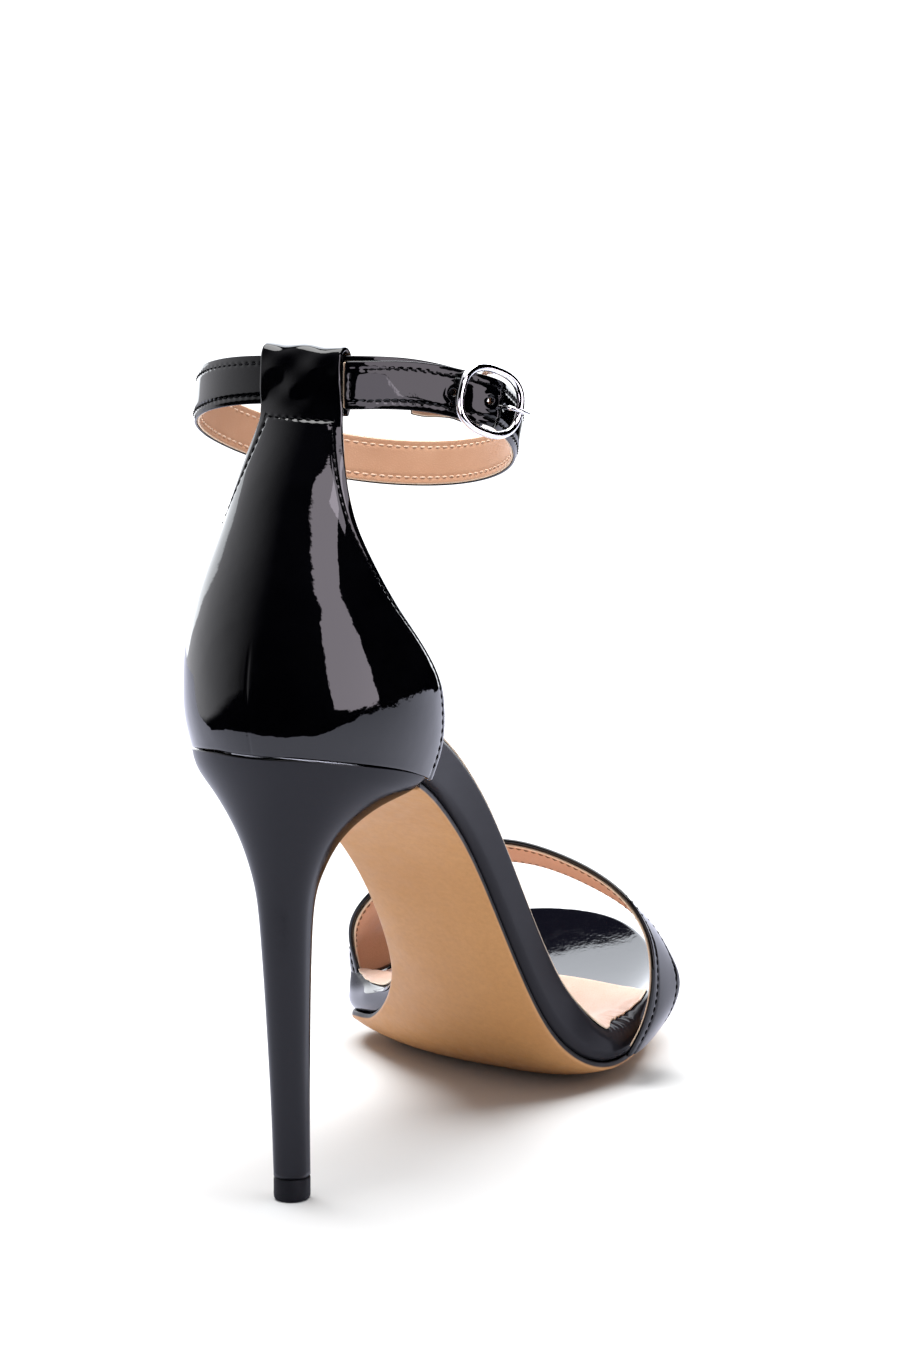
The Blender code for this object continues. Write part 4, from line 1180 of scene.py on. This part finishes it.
def make_ankle_strap():
    """The buckled band: patent outside, lining towards the leg, two rows of stitches and punched holes."""
    route = strap_route()
    place, run, outward, width = loop_frame(BUCKLE_ALONG + route[:, 0])
    length = running_length(place + outward * route[:, 1:])
    steps = np.arange(0, length[-1], STRAP_STEP)
    ahead, over = (np.interp(steps, length, route[:, axis]) for axis in range(2))
    half_width = STRAP_WIDTH / 2
    inset = STRAP_THICKNESS * PATENT_SHARE / 2
    up = np.linspace(half_width - inset, inset - half_width, STRAP_COLUMNS)
    in_tail = steps > length[-1] - (STRAP_TAIL["ahead"][0] - STRAP_TAIL["ahead"][-1])
    along, across = steps[None] + 0 * up[:, None], up[:, None] + 0 * steps[None]
    missing = np.zeros((len(up) - 1, len(steps) - 1), bool)
    for hole in (PRONG_HOLE_AHEAD, *HOLES_AHEAD):
        at = np.interp(LOOP_LENGTH - hole, -ahead[in_tail], steps[in_tail])
        moved_along, moved_up, cells = round_hole(steps, up, at, HOLE_RADIUS, HOLE_CELLS)
        along, across = along + moved_along - steps[None], across + moved_up - up[:, None]
        missing |= cells
    in_first_half = steps < length[-1] / 2
    slot = (np.abs(ahead) < FOLD_SLOT_LENGTH / 2) & in_first_half
    slot_rows = np.abs(up) < FOLD_SLOT_WIDTH / 2
    missing |= slot_rows[:-1, None] & slot_rows[1:, None] & slot[None, :-1] & slot[None, 1:]
    ahead, over = (np.interp(along, length, route[:, axis]) for axis in range(2))
    place, run, outward, width = loop_frame(BUCKLE_ALONG + ahead)
    tail_share = np.where(in_first_half, 0, smooth(0, -STRAP_TAIL["ahead"][-1], -ahead - LOOP_LENGTH))
    drop = TAIL_DROP * tail_share + RETURN_DROP * (1 - smooth(*RETURN_FADE, steps))
    grid = place + outward * over[..., None] + width * (across - drop)[..., None]
    half = STRAP_THICKNESS / 2
    split = half - PATENT_SHARE * STRAP_THICKNESS
    row_places = {"low": STITCH_IN - half_width, "high": half_width - STITCH_IN}
    rows_down = groove(across, along, row_places["high"]) + groove(across, along, row_places["low"])
    from_tip = length[-1] - along
    between = np.abs(across) < half_width - STITCH_IN + END_ROW_MARGIN
    end_row = groove(from_tip, across, TIP_STITCH_IN)
    relief = np.where((from_tip < 2 * TIP_STITCH_IN) & between, np.minimum(rows_down, end_row), rows_down)
    for hole in HOLES_AHEAD:
        away = np.hypot(ahead + LOOP_LENGTH - hole, across)
        relief = relief + HOLE_RIM_HIGH * bell(away - HOLE_RIM, HOLE_RIM_WIDTH)
    relief = relief + ripple(grid, *STRAP_RIPPLE)
    relief = relief - STRAP_ROUND * (1 - smooth(0, STRAP_BORDER, half_width - np.abs(across)))
    high = half + relief
    sheet_piece("ankle_strap_patent", grid[:, :-1], split + LAYER_GAP, high[:, :-1], STRAP_PATENT,
                "ankle_strap", missing[:, :-1])
    low = -half - LINING_GROOVE * rows_down
    sheet_piece("ankle_strap_lining", grid[1:-1], low[1:-1], split - LAYER_GAP, LINING,
                missing=missing[1:-1])
    normals = grid_normals(grid)
    outside = grid + normals * high[..., None]
    inside = grid - normals * (half - LINING_STITCH_SINK)
    for side, row_place in row_places.items():
        row = int(np.argmin(np.abs(up - row_place)))
        line, lining_line, facing = (values[row, STRAP_STITCHES] for values in (outside, inside, normals))
        stitches(f"ankle_strap_stitches_{side}", line, facing, BLACK_THREAD, "patent")
        stitches(f"ankle_strap_lining_stitches_{side}", lining_line, -facing, PALE_THREAD, "lining")
    column = int(np.argmin(np.abs(from_tip[0] - TIP_STITCH_IN)))
    rows = np.abs(up) < half_width - STITCH_IN
    line, facing = outside[rows, column], normals[rows, column]
    stitches("ankle_strap_stitches_end", line, facing, BLACK_THREAD, "patent")


RING_POINTS = 120
RING_SIDES = 24
BAR_POINTS = 60
PRONG_POINTS = 90
PRONG_SIDES = 20
HOOK_TURNS = np.radians(np.arange(-50, -270, -27))
PRONG_TAPER = 0.25  # how much thinner the prong's tip is, as a share
PRONG_TAPER_FROM = 60  # of its points


def make_buckle():
    """The oval frame with its dropped bar, and the prong hooked on that bar."""
    turns = full_turn(RING_POINTS)
    ahead, up = np.cos(turns), np.sin(turns)
    squeeze = (np.abs(ahead) ** FRAME_FULLNESS + np.abs(up) ** FRAME_FULLNESS) ** (-1 / FRAME_FULLNESS)
    oval = [
        buckle_point(FRAME_HALF_LENGTH * a * s, FRAME_OVER, FRAME_HALF_HEIGHT * u * s)
        for a, u, s in zip(ahead, up, squeeze)
    ]
    tube("buckle_ring", oval, FRAME_RADIUS, SILVER, "buckle_frame", RING_SIDES, closed=True)
    strap_edge = STRAP_WIDTH / 2 + 2 * GAP
    drop = FRAME_OVER - BAR_OVER
    rise = FRAME_HALF_HEIGHT - strap_edge
    side = [(strap_edge + rise * part, share) for part, share in BAR_BEND]
    bar = [(-up, share) for up, share in side[::-1]] + side
    line = resample([buckle_point(0, BAR_OVER + drop * share, up) for up, share in bar], BAR_POINTS)
    tube("buckle_bar", line, BAR_RADIUS, SILVER)
    line = [(PRONG_HOOK * math.cos(turn), BAR_OVER + PRONG_HOOK * math.sin(turn)) for turn in HOOK_TURNS]
    line += list(zip(PRONG["ahead"], PRONG["over"]))
    line = resample([buckle_point(*step) for step in line], PRONG_POINTS)
    taper = PRONG_TAPER * smooth(PRONG_TAPER_FROM, PRONG_POINTS - 1, np.arange(PRONG_POINTS))
    tube("buckle_pin", line, PRONG_RADIUS * (1 - taper), SILVER, "buckle_prong", PRONG_SIDES)


make_platform()
make_outsole()
make_sock()
make_heel()
make_counter()
make_toe_strap()
make_ankle_strap()
make_buckle()


# The camera of the photograph: where it stands, how it is turned and how much it takes in.
AZIMUTH = 24.6
ELEVATION = 13.1
DISTANCE = 1570 * MM
TARGET = mm(0, 90, 90)
AIM_RIGHT = 10.9 * MM
AIM_UP = 25.4 * MM
LENS = 168.7
SENSOR = 36
CLIP = (0.05, 50)


def direction(azimuth, elevation):
    a, e = math.radians(azimuth), math.radians(elevation)
    return Vector((math.sin(a) * math.cos(e), -math.cos(a) * math.cos(e), math.sin(e)))


def stand(thing, place, aim, roll=0):
    """Puts the camera or a light in its place, turned towards its aim."""
    thing.location = place
    thing.rotation_mode = "QUATERNION"
    towards = (Vector(aim) - Vector(place)).to_track_quat("-Z", "Y")
    thing.rotation_quaternion = towards @ Quaternion((0, 0, 1), math.radians(roll))


def make_camera():
    back = direction(AZIMUTH, ELEVATION)
    right = (-back).cross(Vector((0, 0, 1))).normalized()
    up = right.cross(-back)
    target = Vector(TARGET + ORIGIN)
    camera = add_object("camera", bpy.data.cameras.new("camera"))
    stand(camera, target + back * DISTANCE, target + right * AIM_RIGHT + up * AIM_UP)
    camera.data.lens = LENS
    camera.data.sensor_width = SENSOR
    camera.data.clip_start, camera.data.clip_end = CLIP
    bpy.context.scene.camera = camera


def flat_stage(name, corners, finish, colour, rough):
    """A flat matt thing of the studio."""
    mesh = bpy.data.meshes.new(name)
    mesh.from_pydata(corners, [], [tuple(range(len(corners)))])
    nodes = Nodes(finish, Base_Color=(*colour, 1), Roughness=rough, Specular_IOR_Level=0.0)
    mesh.materials.append(nodes.material)
    made = add_object(name, mesh)
    return made


FLOOR_RADIUS = 0.75
FLOOR_CORNERS = 96
FLOOR_LEVEL = -0.2 * MM
FLOOR_COLOUR = (0.68, 0.68, 0.68)
# Where the white table top ends, as the counter mirrors it: azimuth, and how far below level that is seen.
TABLE_EDGE = (
    (-85, 27), (-60, 29), (-30, 32), (0, 36), (30, 37), (45, 34), (60, 29), (75, 20), (90, 14), (105, 11),
    (120, 10), (150, 9), (178, 8), (-150, 8), (-110, 9),
)
TABLE_SEEN_FROM = mm(0, 10, 125)
TABLE_COLOUR = (0.66, 0.67, 0.79)


def make_floor():
    """A round pale floor that runs out into the backdrop, and the white table top that the gloss mirrors."""
    turns = full_turn(FLOOR_CORNERS)
    rim = [(FLOOR_RADIUS * math.cos(turn), FLOOR_RADIUS * math.sin(turn), FLOOR_LEVEL) for turn in turns]
    floor = flat_stage("floor", rim, "floor_paper", FLOOR_COLOUR, 1.0)
    floor.visible_glossy = False
    eye = Vector(TABLE_SEEN_FROM + ORIGIN)
    corners = []
    for azimuth, drop in TABLE_EDGE:
        way = direction(azimuth, -drop)
        corners.append((eye - way * (eye.z / way.z))[:2] + (0.0,))
    table_top = flat_stage("table_top", corners, "table_white", TABLE_COLOUR, 0.6)
    for ray in ("camera", "diffuse", "shadow", "transmission", "volume_scatter"):
        setattr(table_top, "visible_" + ray, False)


# The studio round the shoe, as its gloss mirrors it: for each panel its brightness, its colour, and its
# corners as azimuth, elevation and how soft the edge is that runs on from there.
PANELS = (
    (4.0, (0.93, 0.96, 1.0), ((172, -11, 0.03), (172, 12, 0.03), (-95, 13, 0.03), (-128, -10, 0.03))),
    (6.6, (0.90, 0.94, 1.0), ((172, 8, 0.012), (172, 50.8, 0.012), (-112, 50.8, 0.03), (-122, 8, 0.03))),
    (2.3, (0.95, 0.95, 1.0), (
        (-140, -18, 0.1), (-140, 14, 0.1), (-100, 60, 0.2), (-15, 60, 1.6), (-15, -12, 0.1), (-95, -24, 0.1),
    )),
    (4.4, (0.98, 0.89, 1.0), ((66, -14.5, 0.012), (45, 33, 0.012), (68, 33, 0.012), (105, -10.5, 0.012))),
    (4.4, (0.98, 0.89, 1.0), (
        (18, 42.5, 0.012), (18, 46.5, 0.012), (42, 45, 0.012), (74, 38, 0.012), (72, 28.5, 0.012),
        (47, 29, 0.012),
    )),
)
CEILING = 7.0
CEILING_FROM = 0.86  # as the sine of an elevation
CEILING_SOFT = 0.02
FILL = 0.35
FILL_COLOUR = (0.9, 0.94, 1.0, 1)
BACKDROP = 1.6


def make_world():
    """White for the camera, the studio for the gloss, and a pale fill for everything else."""
    world = bpy.data.worlds.new("studio")
    bpy.context.scene.world = world
    world.use_nodes = True
    tree = world.node_tree
    tree.nodes.clear()

    def step(source, low, high):
        inputs = {"Value": source, "From Min": low, "From Max": high}
        return add_node(tree, "MapRange", inputs, "Result", interpolation_type="SMOOTHSTEP")

    def times(first, second):
        return add_node(tree, "Math", {0: first, 1: second}, operation="MULTIPLY")

    def tinted(strength, colour):
        return add_node(tree, "VectorMath", {0: colour, "Scale": strength}, operation="SCALE")

    def background(colour, strength):
        return add_node(tree, "Background", {"Color": colour, "Strength": strength})

    def choose(ray, other, seen):
        return add_node(tree, "MixShader", {0: add_node(tree, "LightPath", {}, ray), 1: other, 2: seen})

    way = add_node(tree, "TexCoord", {}, "Generated")
    height = add_node(tree, "SeparateXYZ", {0: way}, "Z")
    mirrored = tinted(times(step(height, CEILING_FROM, CEILING_FROM + CEILING_SOFT), CEILING), (1, 1, 1))
    for strength, colour, corners in PANELS:
        ways = [direction(*corner[:2]) for corner in corners]
        inside = sum(ways, Vector()) / len(ways)
        share = 1.0
        for first, second, corner in zip(ways, ways[1:] + ways[:1], corners):
            plane = first.cross(second).normalized()
            if plane.dot(inside) < 0:
                plane = -plane
            distance = add_node(tree, "VectorMath", {0: way, 1: plane}, "Value", operation="DOT_PRODUCT")
            share = times(share, step(distance, 0.0, corner[2]))
        panel = tinted(times(share, strength), colour)
        mirrored = add_node(tree, "VectorMath", {0: mirrored, 1: panel}, operation="MAXIMUM")
    seen = choose("Is Glossy Ray", background(FILL_COLOUR, FILL), background(mirrored, 1.0))
    seen = choose("Is Camera Ray", seen, background((1, 1, 1, 1), BACKDROP))
    tree.links.new(seen, tree.nodes.new("ShaderNodeOutputWorld").inputs["Surface"])


def soft_light(name, place, aim, roll, size, power, colour, mirrored):
    """A rectangular light: one that the gloss mirrors lights nothing else."""
    data = bpy.data.lights.new(name, "AREA")
    data.shape = "RECTANGLE"
    data.size, data.size_y = size
    data.energy = power
    data.color = colour
    light = add_object(name, data)
    stand(light, place, aim, roll)
    light.visible_camera = False
    light.visible_glossy = mirrored
    light.visible_diffuse = not mirrored


OVERHEAD_PLACE = (-0.1, 0.15, 1.25)
OVERHEAD_SIZE = (1.3, 1.3)
OVERHEAD_POWER = 42
# The small light beside the ankle strap that the rear of the strap's tail mirrors.
TAIL_LIGHT_PLACE = mm(36.1, 20.2, 189.0) + ORIGIN
TAIL_LIGHT_AZIMUTH = 60  # seen from the strap
TAIL_LIGHT_ROLL = 45  # its edge follows that of the studio's panel which the rest of the tail mirrors
TAIL_LIGHT_SIZE = (22 * MM, 20 * MM)
TAIL_LIGHT_POWER = 0.0055
TAIL_LIGHT_COLOUR = (0.95, 0.87, 1.0)

make_camera()
make_floor()
make_world()
soft_light("overhead", OVERHEAD_PLACE, (0, 0, 0), 0, OVERHEAD_SIZE, OVERHEAD_POWER, (1, 1, 1), False)
tail_light_aim = Vector(TAIL_LIGHT_PLACE) - direction(TAIL_LIGHT_AZIMUTH, 0)
soft_light("tail_light", TAIL_LIGHT_PLACE, tail_light_aim, TAIL_LIGHT_ROLL, TAIL_LIGHT_SIZE,
           TAIL_LIGHT_POWER, TAIL_LIGHT_COLOUR, True)
bpy.context.scene.view_settings.view_transform = "Standard"
